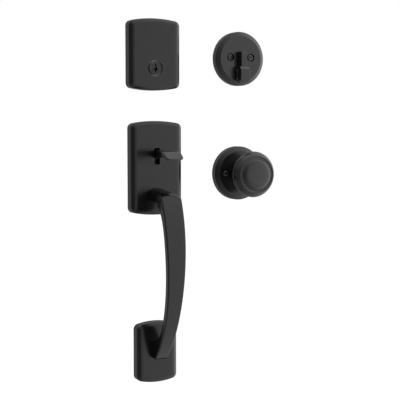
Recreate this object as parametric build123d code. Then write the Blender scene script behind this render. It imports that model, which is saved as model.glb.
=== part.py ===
"""Entry door handleset: two outside units with a pull grip, two inside units, on one door plane.

Frame in millimetres: +Z up, -Y out of the door towards the viewer, the door face is Y = 0.
The origin is the centre of the upper handle plate on the door face. "Depth" is the distance
out of the door, so a point at depth d lies at Y = -d; what reaches into the door has Y > 0.
Outside units stand in the left column and inside units in the right one, all facing out.
"""
from build123d import *
import math
import os

# Places of the four units on the door face
DEADBOLT_X = -2.0
DEADBOLT_Z = 133.2
THUMBTURN_X = 112.6
THUMBTURN_Z = 131.0
KNOB_X = 111.9
KNOB_Z = -8.5

# Door and hardware that the units share
DOOR_THICKNESS = 35.0
LATCH_AXIS_Z = -8.5
LATCH_SCREW_SPREAD = 38.0
BOLT_SCREW_SPREAD = 27.6
BOLT_SCREW_RISE = 1.7
SCREW_R = 2.4
SCREW_SHOULDER_R = 2.7
SCREW_HEAD_FILLET = 0.5
SCREW_POINT = 0.8
CROSS_ARM_SHARE = 0.58
CROSS_HALF_WIDTH = 0.65
CROSS_DEPTH = 1.3
SCREW_HEAD_R = 3.9
SCREW_HEAD_H = 2.6
POST_R = 4.2
POST_HOLE_R = 2.1
POST_THREAD_DEPTH = 18.0
REACH_INTO_DOOR = 21.0
SPINDLE_SIDE = 6.5
SPINDLE_ENGAGEMENT = 10.0

# Clearances
RUNNING = 0.05
EASY = 0.2
SWING_GAP = 0.3
HOLE_EASE = 0.4
TRIM = 1.0

# Outline and rim of the rectangular plates
PLATE_WIDTH = 64.7
HANDLE_PLATE_HEIGHT = 110.8
DEADBOLT_PLATE_WIDTH = 64.4
DEADBOLT_PLATE_HEIGHT = 84.0
LOWER_PLATE_WIDTH = 51.2
LOWER_PLATE_HEIGHT = 72.8
CROWN_R = 150.0
LOWER_CROWN_R = 88.0
CORNER_R = 6.5
PLATE_SIDE = 11.2
PLATE_BEVEL_RUN = 4.8
PLATE_BEVEL_DEPTH = 3.0
RIM_FILLET = 1.2
FACE_FILLET = 1.6
WALL = 2.4
INNER_SIDE_SHARE = 0.35
FACE_CORNER_SHARE = 0.2
BACKPLATE = 2.0

# Round roses
ROSE_R = 32.8
ROSE_SIDE = 8.2
ROSE_BEVEL_RUN = 5.2
ROSE_BEVEL_DEPTH = 3.1
SCREW_RECESS_R = 4.9
SCREW_RECESS_DEPTH = 3.0
SCREW_BOSS_WALL = 1.4

# Key cylinder
KEY_DROP = 16.1
PLUG_R = 8.2
PLUG_PROUD = 0.3
GROOVE_WIDTH = 0.7
BARREL_R = 14.0
BORE_BOSS_R = 18.5
BORE_BOSS_DEPTH = 6.0
HOUSING_LIP = 2.5
HOUSING_LIP_THICKNESS = 2.0
BARREL_REAR = 8.0
KEYWAY_HEIGHT = 9.6
KEYWAY_WIDTH = 1.5
KEYWAY_DEPTH = 11.0
KEYWAY_STEP = 0.7
KEYWAY_NOTCH = 1.8
TOOL_HOLE_LEFT = 3.6
TOOL_HOLE_WIDTH = 0.9
TOOL_HOLE_HEIGHT = 1.8
PLUG_EDGE = 0.4
PLUG_BEHIND_CLIP = 1.5
TAILPIECE_WIDTH = 7.0
TAILPIECE_THICKNESS = 2.2
TAILPIECE_HELD = 5.0
TAILPIECE_PAST_DOOR = 8.0
CLIP_THICKNESS = 1.0
CLIP_GROOVE = 0.9
CLIP_LAND = 2.0
CLIP_MOUTH_SHARE = 0.55
SHAFT_BEHIND_CLIP = 3.0

# Thumbturn
TURN_SHAFT_R = 5.2
TURN_COLLAR_WALL = 1.8
TURN_COLLAR_HEIGHT = 6.6
TURN_TOP = 8.3
TURN_SHOULDER = 9.8
TURN_SHOULDER_SLOPE = 3.3
TURN_BOTTOM = 29.0
TURN_FIN_WIDTH = 7.6
TURN_PADDLE_WIDTH = 12.4
TURN_FIN_DEPTH = 21.0
TURN_PADDLE_DEPTH = 24.0
TURN_TIP_R = 4.2
TURN_TOP_R = 2.4
SCALLOP_DEPTH = 2.6
SCALLOP_HEIGHT = 8.6
SCALLOP_REACH = 5.0
TURN_FACE_FILLET = 0.5
WASHER_THICKNESS = 1.2

# Thumb latch, its pivot, lift cam and spindle
SLOT_WIDTH = 7.0
SLOT_BOTTOM = 4.2
SLOT_TOP = 23.7
SLOT_CORNER_R = 0.8
PIVOT_Z = 16.5
PIVOT_DEPTH = 5.5
PIVOT_PIN_R = 1.5
PIVOT_BARREL_R = 3.1
STEM_WIDTH = 5.5
STEM_HEIGHT = 6.0
STEM_RISE = 0.8
PAD_WIDTH = 24.0
PAD_TIP_WIDTH = 20.0
PAD_BACK_DEPTH = 52.5
PAD_TIP_DEPTH = 66.6
PAD_TOP_Z = 20.3
PAD_TIP_Z = 12.6
PAD_THICKNESS = 3.1
PAD_HUMP = 1.2
PAD_CORNER_R = 4.6
PAD_HEEL_R = 2.5
TAIL_LEFT = 14.6
TAIL_RIGHT = 4.0
TAIL_TOP_Z = 3.2
TAIL_THICKNESS = 3.0
TAIL_REACH = 8.0
EAR_THICKNESS = 2.0
EAR_R = 3.5
EAR_RIGHT_OF_STEM = 7.5
LEVER_WINDOW_GAP = 0.8
CAM_HUB_R = 6.0
CAM_COLLAR_WALL = 2.2
CAM_COLLAR_HEIGHT = 5.0
CAM_FLANGE_R = 7.4
CAM_FLANGE_THICKNESS = 1.3
CAM_HUB_REAR = 13.0
CAM_ARM_THICKNESS = 2.5
CAM_ARM_OUT = 12.0
CAM_ARM_END_R = 3.0
CAM_PIN_R = 1.5
CAM_PIN_LENGTH = 9.0
SPINDLE_POINT = 0.8
SPRING_WIRE_R = 0.45
SPRING_GAP = 0.4
SPRING_TURNS = 5

# Pull grip: depth of its front face and its width along the height
GRIP_TOP_ABOVE_EDGE = 27.8
GRIP_SHOULDER_DROP = 20.8
GRIP_SHOULDER_DEPTH = 61.1
GRIP_TOP_DEPTH = 53.0
GRIP_BELLY_DROP = 73.4
GRIP_BELLY_DEPTH = 70.1
GRIP_LOWER_DROP = 157.4
GRIP_LOWER_DEPTH = 53.5
GRIP_FOOT_DROP = 198.7
GRIP_FOOT_DEPTH = 24.0
GRIP_THICKNESS = 8.4
GRIP_ARM_HEIGHT = 11.0
GRIP_FOOT_SEAT = 19.0
GRIP_TOP_WIDTH = 25.0
GRIP_MIDDLE_WIDTH = 23.0
GRIP_LOWER_WIDTH = 16.9
GRIP_FOOT_WIDTH = 15.4
GRIP_TOP_CROWN_R = 24.0
GRIP_BEND_START_DEPTH = 29.0
GRIP_BEND_MIDDLE_DEPTH = 48.0
GRIP_BEND_MIDDLE_DROP = 9.5
GRIP_BACK_INSET = 42.6
GRIP_BACK_POINTS = 7
GRIP_EDGE = 1.2
GRIP_TOP_EDGE = 1.4
GRIP_TOP_EDGE_DROP = 2.4
GRIP_SCREW_R = 3.0
GRIP_SCREW_HEAD_R = 5.0
GRIP_SCREW_HEAD_H = 3.4
GRIP_SCREW_DROP = 6.05
GRIP_SCREW_SOCKET_R = 2.9
GRIP_SCREW_SOCKET_DEPTH = 2.0
GRIP_SCREW_BITE = 16.0
LOWER_POST_BITE = 10.0
LOWER_POST_R = 4.6
FOOT_BELOW_PLATE_CENTRE = 6.0

# Inside knob
KNOB_R = 27.5
KNOB_BACK_EDGE = 1.0
KNOB_BACK_EDGE_DEPTH = 0.6
KNOB_FLARE_R = 18.0
KNOB_FLARE_BEHIND_RIM = 5.6
KNOB_RIM_BACK = 43.6
KNOB_RIM_FRONT = 46.8
KNOB_SHOULDER_R = 24.9
KNOB_SHOULDER_DEPTH = 51.6
KNOB_LIP_R = 21.4
KNOB_LIP_DEPTH = 54.9
KNOB_GROOVE_R = 20.2
KNOB_GROOVE_DEPTH = 53.6
KNOB_DISC_SIDE_R = 18.8
KNOB_DISC_SIDE_BEHIND_FACE = 1.2
KNOB_DISC_R = 16.2
KNOB_DISC_DEPTH = 57.2
KNOB_DOME = 0.9
KNOB_NECK_R = 12.4
KNOB_NECK_TOP = 24.0
KNOB_NECK_BASE = 7.2
KNOB_WALL = 2.6
SHANK_R = 9.0
SHANK_FLANGE_R = 12.0
SHANK_FLANGE = 2.0
SHANK_SEAT = 3.0
SHANK_COLLAR_WALL = 2.0
SHANK_COLLAR_HEIGHT = 6.5
SHANK_SOCKET_DEPTH = 20.0
KNOB_SPRING_WIRE_R = 0.6
KNOB_SPRING_TURNS = 2.0

# Worked out from the above
PLATE_T = PLATE_SIDE + PLATE_BEVEL_DEPTH
PLATE_INSIDE = PLATE_T - WALL
ROSE_T = ROSE_SIDE + ROSE_BEVEL_DEPTH
ROSE_INSIDE = ROSE_T - WALL
CAM_PIN_RISE = TAIL_TOP_Z + SWING_GAP + CAM_PIN_R - LATCH_AXIS_Z
KNOB_SEAT = KNOB_NECK_TOP + SHANK_SEAT
GRIP_TOP_Z = GRIP_TOP_ABOVE_EDGE - HANDLE_PLATE_HEIGHT / 2
GRIP_SHOULDER_Z = GRIP_TOP_Z - GRIP_SHOULDER_DROP
GRIP_BELLY_Z = GRIP_TOP_Z - GRIP_BELLY_DROP
GRIP_LOWER_Z = GRIP_TOP_Z - GRIP_LOWER_DROP
GRIP_FOOT_Z = GRIP_TOP_Z - GRIP_FOOT_DROP
LOWER_PLATE_Z = GRIP_FOOT_Z + FOOT_BELOW_PLATE_CENTRE
PLUG_REAR = BARREL_REAR + CLIP_THICKNESS + PLUG_BEHIND_CLIP
SHAFT_REAR = CLIP_THICKNESS + SHAFT_BEHIND_CLIP
CLIP_POCKET = CLIP_THICKNESS + 2 * RUNNING
CLIP_FRONT = RUNNING - CLIP_POCKET


def rod(radius, y0, y1, x=0.0, z=0.0):
    """Round bar along Y between two Y values."""
    return Pos(x, (y0 + y1) / 2, z) * Rot(90, 0, 0) * Cylinder(radius, abs(y1 - y0))


def cross_rod(radius, x0, x1, y, z):
    """Round bar along X."""
    return Pos((x0 + x1) / 2, y, z) * Rot(0, 90, 0) * Cylinder(radius, abs(x1 - x0))


def bar(x0, x1, y0, y1, z0, z1):
    """Square-edged bar between two corners."""
    return Pos((x0 + x1) / 2, (y0 + y1) / 2, (z0 + z1) / 2) * Box(abs(x1 - x0), abs(y1 - y0), abs(z1 - z0))


def ring(inner, outer, y0, y1, x=0.0, z=0.0):
    """Flat ring or tube along Y."""
    return rod(outer, y0, y1, x, z) - rod(inner, y0, y1, x, z)


def turned(points):
    """Solid of revolution about the Y axis from (radius, depth) corners."""
    return revolve(make_face(Polyline(*[(r, -d) for r, d in points], close=True)), Axis.Y)


def crowned_outline(width, height, crown, corner):
    """Rectangle whose top and bottom are shallow arcs, with rounded corners."""
    half = width / 2
    side = height / 2 - (crown - math.sqrt(crown ** 2 - half ** 2))
    edges = [
        Line((-half, -side), (-half, side)),
        ThreePointArc((-half, side), (0, height / 2), (half, side)),
        Line((half, side), (half, -side)),
        ThreePointArc((half, -side), (0, -height / 2), (-half, -side)),
    ]
    face = make_face(edges)
    return fillet(face.vertices(), corner)


def bevelled(width, height, crown, corner, side, run, rise):
    """Upright side wall below a bevel that runs in to the flat face."""
    outline = crowned_outline(width, height, crown, corner)
    face_corner = max(corner - run, corner * FACE_CORNER_SHARE)
    face = crowned_outline(width - 2 * run, height - 2 * run, crown - run, face_corner)
    bevel = loft([Plane.XZ.offset(side) * outline, Plane.XZ.offset(side + rise) * face], ruled=True)
    return extrude(Plane.XZ * outline, side) + bevel


def edges_at_depth(solid, depth):
    """Edges that lie wholly at one depth out of the door."""
    return [e for e in solid.edges() if abs(e.bounding_box().min.Y + depth) < 1e-3
            and abs(e.bounding_box().max.Y + depth) < 1e-3]


def plate_shell(width, height, crown):
    """Hollow cast plate: softened rim and face edges outside, even wall inside."""
    outside = bevelled(width, height, crown, CORNER_R, PLATE_SIDE, PLATE_BEVEL_RUN, PLATE_BEVEL_DEPTH)
    outside = fillet(edges_at_depth(outside, PLATE_T), FACE_FILLET)
    outside = fillet(edges_at_depth(outside, PLATE_SIDE), RIM_FILLET)
    inner_side = PLATE_SIDE - WALL * INNER_SIDE_SHARE
    inner_rise = PLATE_INSIDE - inner_side
    inner_run = PLATE_BEVEL_RUN * inner_rise / PLATE_BEVEL_DEPTH
    cavity = bevelled(width - 2 * WALL, height - 2 * WALL, crown - WALL, CORNER_R - WALL,
                      inner_side, inner_run, inner_rise)
    return outside - cavity


def cavity_outline(width, height, crown, ease):
    """Outline of a plate's hollow, drawn in by a clearance."""
    inset = WALL + ease
    return crowned_outline(width - 2 * inset, height - 2 * inset, crown - inset, CORNER_R - WALL)


def rose_shell():
    """Hollow turned rose with the same rim as the plates."""
    face_r = ROSE_R - ROSE_BEVEL_RUN
    outside = turned([(0, 0), (ROSE_R, 0), (ROSE_R, ROSE_SIDE), (face_r, ROSE_T), (0, ROSE_T)])
    outside = fillet(edges_at_depth(outside, ROSE_T), FACE_FILLET)
    outside = fillet(edges_at_depth(outside, ROSE_SIDE), RIM_FILLET)
    inner_r = ROSE_R - WALL
    inner_side = ROSE_SIDE - WALL * INNER_SIDE_SHARE
    inner_face = inner_r - ROSE_BEVEL_RUN * (ROSE_INSIDE - inner_side) / ROSE_BEVEL_DEPTH
    return outside - turned([(0, 0), (inner_r, 0), (inner_r, inner_side), (inner_face, ROSE_INSIDE),
                             (0, ROSE_INSIDE)])


def screw_places(spread, rise):
    """Left and right screw centres of a unit."""
    return [(-spread / 2, rise), (spread / 2, rise)]


def recessed_rose(spread, rise, hole_r, clear_r):
    """Rose with a centre hole and two bosses whose recesses take the screw heads."""
    rose = rose_shell() - rod(hole_r, 0, -ROSE_T)
    floor = ROSE_T - SCREW_RECESS_DEPTH
    for x, z in screw_places(spread, rise):
        boss = rod(SCREW_RECESS_R + SCREW_BOSS_WALL, -BACKPLATE, -ROSE_INSIDE - WALL / 2, x, z)
        rose += boss - rod(clear_r, -BACKPLATE, -ROSE_INSIDE)
    for x, z in screw_places(spread, rise):
        rose -= rod(SCREW_RECESS_R, -floor, -ROSE_T, x, z)
        rose -= rod(SCREW_SHOULDER_R + EASY, -BACKPLATE, -floor, x, z)
    return rose


def rose_screw(x, z):
    """Machine screw seated in a rose's recess and reaching into the door, with a cross recess."""
    floor = ROSE_T - SCREW_RECESS_DEPTH
    top = floor + SCREW_HEAD_H
    head = rod(SCREW_HEAD_R, -floor, -top, x, z)
    head = fillet(edges_at_depth(head, top), SCREW_HEAD_FILLET)
    arm, slot, low = SCREW_HEAD_R * CROSS_ARM_SHARE, CROSS_HALF_WIDTH, CROSS_DEPTH - top
    cross = bar(x - arm, x + arm, -top, low, z - slot, z + slot)
    cross += bar(x - slot, x + slot, -top, low, z - arm, z + arm)
    shaft = rod(SCREW_R, 0, REACH_INTO_DOOR, x, z)
    shaft = chamfer(edges_at_depth(shaft, -REACH_INTO_DOOR), SCREW_POINT)
    return head - cross + rod(SCREW_SHOULDER_R, -floor, 0, x, z) + shaft


def rose_backplate(spread, rise, shaft_r, collar_wall, collar_height):
    """Steel disc in the rose's back with a collar that carries the turning shaft."""
    disc = rod(ROSE_R - WALL - EASY, -BACKPLATE, 0)
    disc += rod(shaft_r + collar_wall, -collar_height, -BACKPLATE)
    disc -= rod(shaft_r + RUNNING, -collar_height, 0) + clip_pocket(shaft_r)
    for x, z in screw_places(spread, rise):
        disc -= rod(SCREW_SHOULDER_R + EASY, -BACKPLATE, 0, x, z)
    return disc


def retaining_clip(shaft_r, y0):
    """Open ring that snaps into a shaft's groove."""
    clip = ring(shaft_r - CLIP_GROOVE + RUNNING, shaft_r + CLIP_LAND, y0, y0 + CLIP_THICKNESS)
    mouth = (shaft_r - CLIP_GROOVE) * CLIP_MOUTH_SHARE
    return clip - bar(-mouth, mouth, y0, y0 + CLIP_THICKNESS, -shaft_r - 2 * CLIP_LAND, 0)


def clip_pocket(shaft_r):
    """Cut in a back plate so that the clip lies below its face."""
    return rod(shaft_r + CLIP_LAND + SWING_GAP, -CLIP_POCKET, 0)


def clip_groove(shaft_r, y0):
    """Cut for a retaining clip."""
    return ring(shaft_r - CLIP_GROOVE, shaft_r + 1, y0 - RUNNING, y0 + CLIP_THICKNESS + RUNNING)


def threaded_post(x, z, y0):
    """Post that the inside unit's screw enters, open at its far end."""
    post = rod(POST_R, y0, REACH_INTO_DOOR, x, z)
    hole = rod(POST_HOLE_R, REACH_INTO_DOOR - POST_THREAD_DEPTH, REACH_INTO_DOOR, x, z)
    return post, hole


# Outside deadbolt unit, about its plate's centre

def deadbolt_plate():
    plate = plate_shell(DEADBOLT_PLATE_WIDTH, DEADBOLT_PLATE_HEIGHT, CROWN_R)
    return plate - rod(PLUG_R + GROOVE_WIDTH, 0, -PLATE_T, 0, -KEY_DROP)


def deadbolt_backplate():
    outline = cavity_outline(DEADBOLT_PLATE_WIDTH, DEADBOLT_PLATE_HEIGHT, CROWN_R, EASY)
    return extrude(Plane.XZ * outline, BACKPLATE) - rod(BORE_BOSS_R + EASY, -BACKPLATE, 0, 0, -KEY_DROP)


def cylinder_housing():
    """Barrel behind the plate, lip held by the back plate, boss in the door's bore, two threaded posts."""
    lip_front = -BACKPLATE - HOUSING_LIP_THICKNESS
    body = rod(BARREL_R, -PLATE_INSIDE, BARREL_REAR) + rod(BORE_BOSS_R, 0, BORE_BOSS_DEPTH)
    body += rod(BORE_BOSS_R - EASY, lip_front, 0) + rod(BORE_BOSS_R + HOUSING_LIP, lip_front, -BACKPLATE)
    holes = rod(PLUG_R + RUNNING, -PLATE_INSIDE, BARREL_REAR)
    for x, z in screw_places(BOLT_SCREW_SPREAD, BOLT_SCREW_RISE):
        post, hole = threaded_post(x, z, 0)
        body += post - rod(PLUG_R + CLIP_LAND + SWING_GAP, BARREL_REAR, REACH_INTO_DOOR)
        holes += hole
    return body - holes


def key_plug():
    """Turning plug with a wavy keyway and a small tool hole, about the key axis."""
    front = PLATE_T + PLUG_PROUD
    plug = rod(PLUG_R, -front, PLUG_REAR)
    plug = chamfer(edges_at_depth(plug, front), PLUG_EDGE)
    plug -= clip_groove(PLUG_R, BARREL_REAR + RUNNING)
    low, step, half = -KEYWAY_HEIGHT / 2, KEYWAY_HEIGHT / 4, KEYWAY_WIDTH / 2
    bottom = KEYWAY_DEPTH - front
    for i, shift in enumerate((0, -KEYWAY_STEP, KEYWAY_STEP, 0)):
        plug -= bar(shift - half, shift + half, -front, bottom, low + i * step, low + (i + 1) * step)
    plug -= bar(0, half + KEYWAY_NOTCH, -front, bottom, low + step, low + 2 * step)
    left, hole_low = -TOOL_HOLE_LEFT, low + step
    plug -= bar(left, left + TOOL_HOLE_WIDTH, -front, KEYWAY_DEPTH / 2 - front,
                hole_low, hole_low + TOOL_HOLE_HEIGHT)
    half_w, half_t = TAILPIECE_WIDTH / 2 + RUNNING, TAILPIECE_THICKNESS / 2 + RUNNING
    return plug - bar(-half_t, half_t, PLUG_REAR - TAILPIECE_HELD, PLUG_REAR, -half_w, half_w)


def tailpiece():
    """Flat blade from the plug through the bolt to the thumbturn, about the key axis."""
    half_w, half_t = TAILPIECE_WIDTH / 2, TAILPIECE_THICKNESS / 2
    end = DOOR_THICKNESS + TAILPIECE_PAST_DOOR
    return bar(-half_t, half_t, PLUG_REAR - TAILPIECE_HELD, end, -half_w, half_w)


# Inside deadbolt unit, about its axis

def thumbturn():
    """Fin above and scalloped paddle below the axis, with its shaft through the rose."""
    base = ROSE_T + SWING_GAP
    fin = bar(-TURN_FIN_WIDTH / 2, TURN_FIN_WIDTH / 2, -base, -TURN_FIN_DEPTH, -TURN_BOTTOM / 2, TURN_TOP)
    upper = [e for e in edges_at_depth(fin, TURN_FIN_DEPTH) if e.center().Z > TURN_TOP - TRIM]
    fin = fillet(upper, TURN_TOP_R)
    half = TURN_PADDLE_WIDTH / 2
    middle = (TURN_SHOULDER + TURN_BOTTOM) / 2
    side = make_face(Polyline((-base, -TURN_SHOULDER), (-TURN_FIN_DEPTH, -TURN_SHOULDER),
                              (-TURN_PADDLE_DEPTH, -TURN_SHOULDER - TURN_SHOULDER_SLOPE),
                              (-TURN_PADDLE_DEPTH, -TURN_BOTTOM), (-base, -TURN_BOTTOM), close=True))
    paddle = extrude(Plane.YZ.offset(-half) * side, TURN_PADDLE_WIDTH)
    low = [e for e in paddle.edges().filter_by(Axis.Y) if e.center().Z < -middle]
    paddle = fillet(low, TURN_TIP_R)
    scoop = scale(Sphere(1), by=(SCALLOP_DEPTH, SCALLOP_REACH, SCALLOP_HEIGHT))
    for sign in (-1, 1):
        paddle -= Pos(sign * (half + EASY), -base - SCALLOP_REACH + TURN_FACE_FILLET, -middle) * scoop
    paddle = fillet(edges_at_depth(paddle, TURN_PADDLE_DEPTH), TURN_FACE_FILLET)
    shaft = rod(TURN_SHAFT_R, -base - TRIM, SHAFT_REAR) - clip_groove(TURN_SHAFT_R, CLIP_FRONT)
    half_w, half_t = TAILPIECE_WIDTH / 2 + EASY, TAILPIECE_THICKNESS / 2 + EASY
    slot = bar(-half_t, half_t, -ROSE_INSIDE, SHAFT_REAR, -half_w, half_w)
    return fin + paddle + shaft - slot


def turn_washer():
    """Friction washer between the collar and the rose."""
    front = TURN_COLLAR_HEIGHT + SWING_GAP + WASHER_THICKNESS
    return ring(TURN_SHAFT_R + EASY, TURN_SHAFT_R + TURN_COLLAR_WALL, -front, -front + WASHER_THICKNESS)


# Outside handle unit, about the handle plate's centre

def handle_plate():
    """Shell with the thumb latch's slot and the grip screw's hole."""
    plate = plate_shell(PLATE_WIDTH, HANDLE_PLATE_HEIGHT, CROWN_R)
    slot = bar(-SLOT_WIDTH / 2, SLOT_WIDTH / 2, 0, -PLATE_T, SLOT_BOTTOM, SLOT_TOP)
    slot = fillet(slot.edges().filter_by(Axis.Y), SLOT_CORNER_R)
    return plate - slot - rod(GRIP_SCREW_R + EASY, 0, -PLATE_T, 0, grip_screw_z())


def grip_screw_z():
    return GRIP_TOP_Z - GRIP_SCREW_DROP


def handle_chassis():
    """Steel plate in the shell's back: screw posts, cam collar, pivot ears and the lever's window."""
    plate = extrude(Plane.XZ * cavity_outline(PLATE_WIDTH, HANDLE_PLATE_HEIGHT, CROWN_R, EASY), BACKPLATE)
    plate += rod(CAM_HUB_R + CAM_COLLAR_WALL, -CAM_COLLAR_HEIGHT, -BACKPLATE, 0, LATCH_AXIS_Z)
    holes = rod(CAM_HUB_R + RUNNING, -CAM_COLLAR_HEIGHT, 0, 0, LATCH_AXIS_Z)
    holes += Pos(0, 0, LATCH_AXIS_Z) * clip_pocket(CAM_HUB_R)
    for x, z in screw_places(LATCH_SCREW_SPREAD, LATCH_AXIS_Z):
        post, hole = threaded_post(x, z, -BACKPLATE)
        plate += post
        holes += hole
    window_low = TAIL_TOP_Z - TAIL_THICKNESS - LEVER_WINDOW_GAP
    holes += bar(-TAIL_LEFT - LEVER_WINDOW_GAP, -TAIL_RIGHT + LEVER_WINDOW_GAP, -BACKPLATE, 0,
                 window_low, PIVOT_Z + LEVER_WINDOW_GAP)
    for x0 in ear_places():
        ear = bar(x0, x0 + EAR_THICKNESS, -BACKPLATE, -PIVOT_DEPTH, PIVOT_Z - EAR_R, PIVOT_Z + EAR_R)
        ear += cross_rod(EAR_R, x0, x0 + EAR_THICKNESS, -PIVOT_DEPTH, PIVOT_Z)
        holes += cross_rod(PIVOT_PIN_R + RUNNING, x0, x0 + EAR_THICKNESS, -PIVOT_DEPTH, PIVOT_Z)
        plate += ear
    return plate - holes


def ear_places():
    """Left sides of the two pivot ears."""
    return (-TAIL_LEFT - SWING_GAP - EAR_THICKNESS, STEM_WIDTH / 2 + EAR_RIGHT_OF_STEM)


def latch_profile():
    """Side view of stem and pad in (Y, Z), from the pivot out to the pad's tip."""
    top, start = STEM_HEIGHT / 2, -PIVOT_DEPTH
    outside = -PLATE_T - STEM_RISE - PIVOT_BARREL_R
    middle = -(PLATE_T + PAD_BACK_DEPTH) / 2
    back, tip = -PAD_BACK_DEPTH, -PAD_TIP_DEPTH
    slope = math.atan2(PAD_TOP_Z - PAD_TIP_Z, PAD_TIP_DEPTH - PAD_BACK_DEPTH)
    under_tip = (tip + PAD_THICKNESS * math.sin(slope), PAD_TIP_Z - PAD_THICKNESS * math.cos(slope))
    upper = Spline((start, PIVOT_Z + top), (outside, PIVOT_Z + top + STEM_RISE),
                   (middle, PAD_TOP_Z + PAD_HUMP), (back, PAD_TOP_Z), (tip, PAD_TIP_Z))
    lower = Spline(under_tip, (back, PAD_TOP_Z - PAD_THICKNESS - STEM_RISE),
                   (middle, PAD_TOP_Z + PAD_HUMP - PAD_THICKNESS - STEM_RISE - TRIM),
                   (outside, PIVOT_Z - top + STEM_RISE), (start, PIVOT_Z - top))
    tip_edge = Line((tip, PAD_TIP_Z), under_tip)
    back_edge = Line((start, PIVOT_Z - top), (start, PIVOT_Z + top))
    return make_face([upper, tip_edge, lower, back_edge])


def latch_plan():
    """Plan of stem and pad in (X, Y); the pad narrows to its tip."""
    stem, half, tip_half = STEM_WIDTH / 2, PAD_WIDTH / 2, PAD_TIP_WIDTH / 2
    flare, tip = -PAD_BACK_DEPTH, -PAD_TIP_DEPTH
    stem_end = flare - PAD_HEEL_R
    stem_face = make_face(Polyline((-stem, 0), (stem, 0), (stem, stem_end), (-stem, stem_end), close=True))
    pad = make_face(Polyline((-half, flare), (half, flare), (tip_half, tip), (-tip_half, tip), close=True))
    pad = fillet([v for v in pad.vertices() if v.Y < tip + TRIM], PAD_CORNER_R)
    pad = fillet([v for v in pad.vertices() if v.Y > flare - TRIM], PAD_HEEL_R)
    return stem_face + pad


def thumb_latch():
    """Lever: thumb pad and stem outside, cross barrel on the pivot, tail that lifts the cam pin."""
    side = extrude(Plane.YZ.offset(-PAD_WIDTH / 2) * latch_profile(), PAD_WIDTH)
    plan = extrude(Plane.XY * latch_plan(), PAD_TOP_Z + PAD_HUMP + STEM_HEIGHT)
    lever = side & plan
    lever = lever + cross_rod(PIVOT_BARREL_R, -TAIL_LEFT, STEM_WIDTH / 2, -PIVOT_DEPTH, PIVOT_Z)
    low = TAIL_TOP_Z - TAIL_THICKNESS
    leg = -PIVOT_DEPTH - PIVOT_BARREL_R + EASY
    tail = bar(-TAIL_LEFT, -TAIL_RIGHT, leg, leg + TAIL_THICKNESS, low, PIVOT_Z)
    tail += bar(-TAIL_LEFT, -TAIL_RIGHT, leg, TAIL_REACH, low, TAIL_TOP_Z)
    return lever + tail - cross_rod(PIVOT_PIN_R + RUNNING, -TAIL_LEFT, STEM_WIDTH / 2, -PIVOT_DEPTH, PIVOT_Z)


def latch_pin():
    left, right = ear_places()
    return cross_rod(PIVOT_PIN_R, left - EASY, right + EAR_THICKNESS + EASY, -PIVOT_DEPTH, PIVOT_Z)


def coil(mean_r, wire_r, pitch, length):
    """Wire helix about local Z."""
    path = Helix(pitch, length, mean_r)
    section = Plane(origin=path @ 0, z_dir=path % 0) * Circle(wire_r)
    return sweep(section, path=path, is_frenet=True)


def latch_spring():
    """Torsion coil on the pivot pin, right of the stem."""
    mean = PIVOT_PIN_R + SPRING_WIRE_R + SPRING_GAP
    start = STEM_WIDTH / 2 + SPRING_WIRE_R + SPRING_GAP
    room = ear_places()[1] - start - SPRING_WIRE_R - SPRING_GAP
    wound = coil(mean, SPRING_WIRE_R, room / SPRING_TURNS, room)
    return Pos(start, -PIVOT_DEPTH, PIVOT_Z) * Rot(0, 90, 0) * wound


def spindle_socket(y0, y1, ease):
    half = SPINDLE_SIDE / 2 + ease
    return bar(-half, half, y0, y1, -half, half)


def lift_cam():
    """Hub in the chassis collar with an arm whose pin lies on the lever's tail, about the latch axis."""
    front = -CAM_COLLAR_HEIGHT - RUNNING
    hub = rod(CAM_HUB_R, front, CAM_HUB_REAR) + rod(CAM_FLANGE_R, front - CAM_FLANGE_THICKNESS, front)
    hub -= clip_groove(CAM_HUB_R, CLIP_FRONT)
    arm_end = Pos(-CAM_ARM_OUT, CAM_PIN_RISE) * Circle(CAM_ARM_END_R)
    boss = Plane.XZ * make_hull([*Circle(CAM_HUB_R + TRIM).edges(), *arm_end.edges()])
    arm = Pos(0, CAM_HUB_REAR + CAM_ARM_THICKNESS, 0) * extrude(boss, CAM_ARM_THICKNESS)
    pin = rod(CAM_PIN_R, CAM_HUB_REAR - CAM_PIN_LENGTH, CAM_HUB_REAR + TRIM, -CAM_ARM_OUT, CAM_PIN_RISE)
    cam = hub + arm + pin
    return cam - spindle_socket(front - CAM_FLANGE_THICKNESS, CAM_HUB_REAR + CAM_ARM_THICKNESS, RUNNING)


def latch_spindle():
    """Square bar through the latch to the inside knob, about the latch axis."""
    front = -CAM_COLLAR_HEIGHT - RUNNING - CAM_FLANGE_THICKNESS
    bar_solid = spindle_socket(front, DOOR_THICKNESS + SPINDLE_ENGAGEMENT, 0)
    return chamfer([e for e in bar_solid.edges() if e.bounding_box().min.Y > DOOR_THICKNESS], SPINDLE_POINT)


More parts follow.
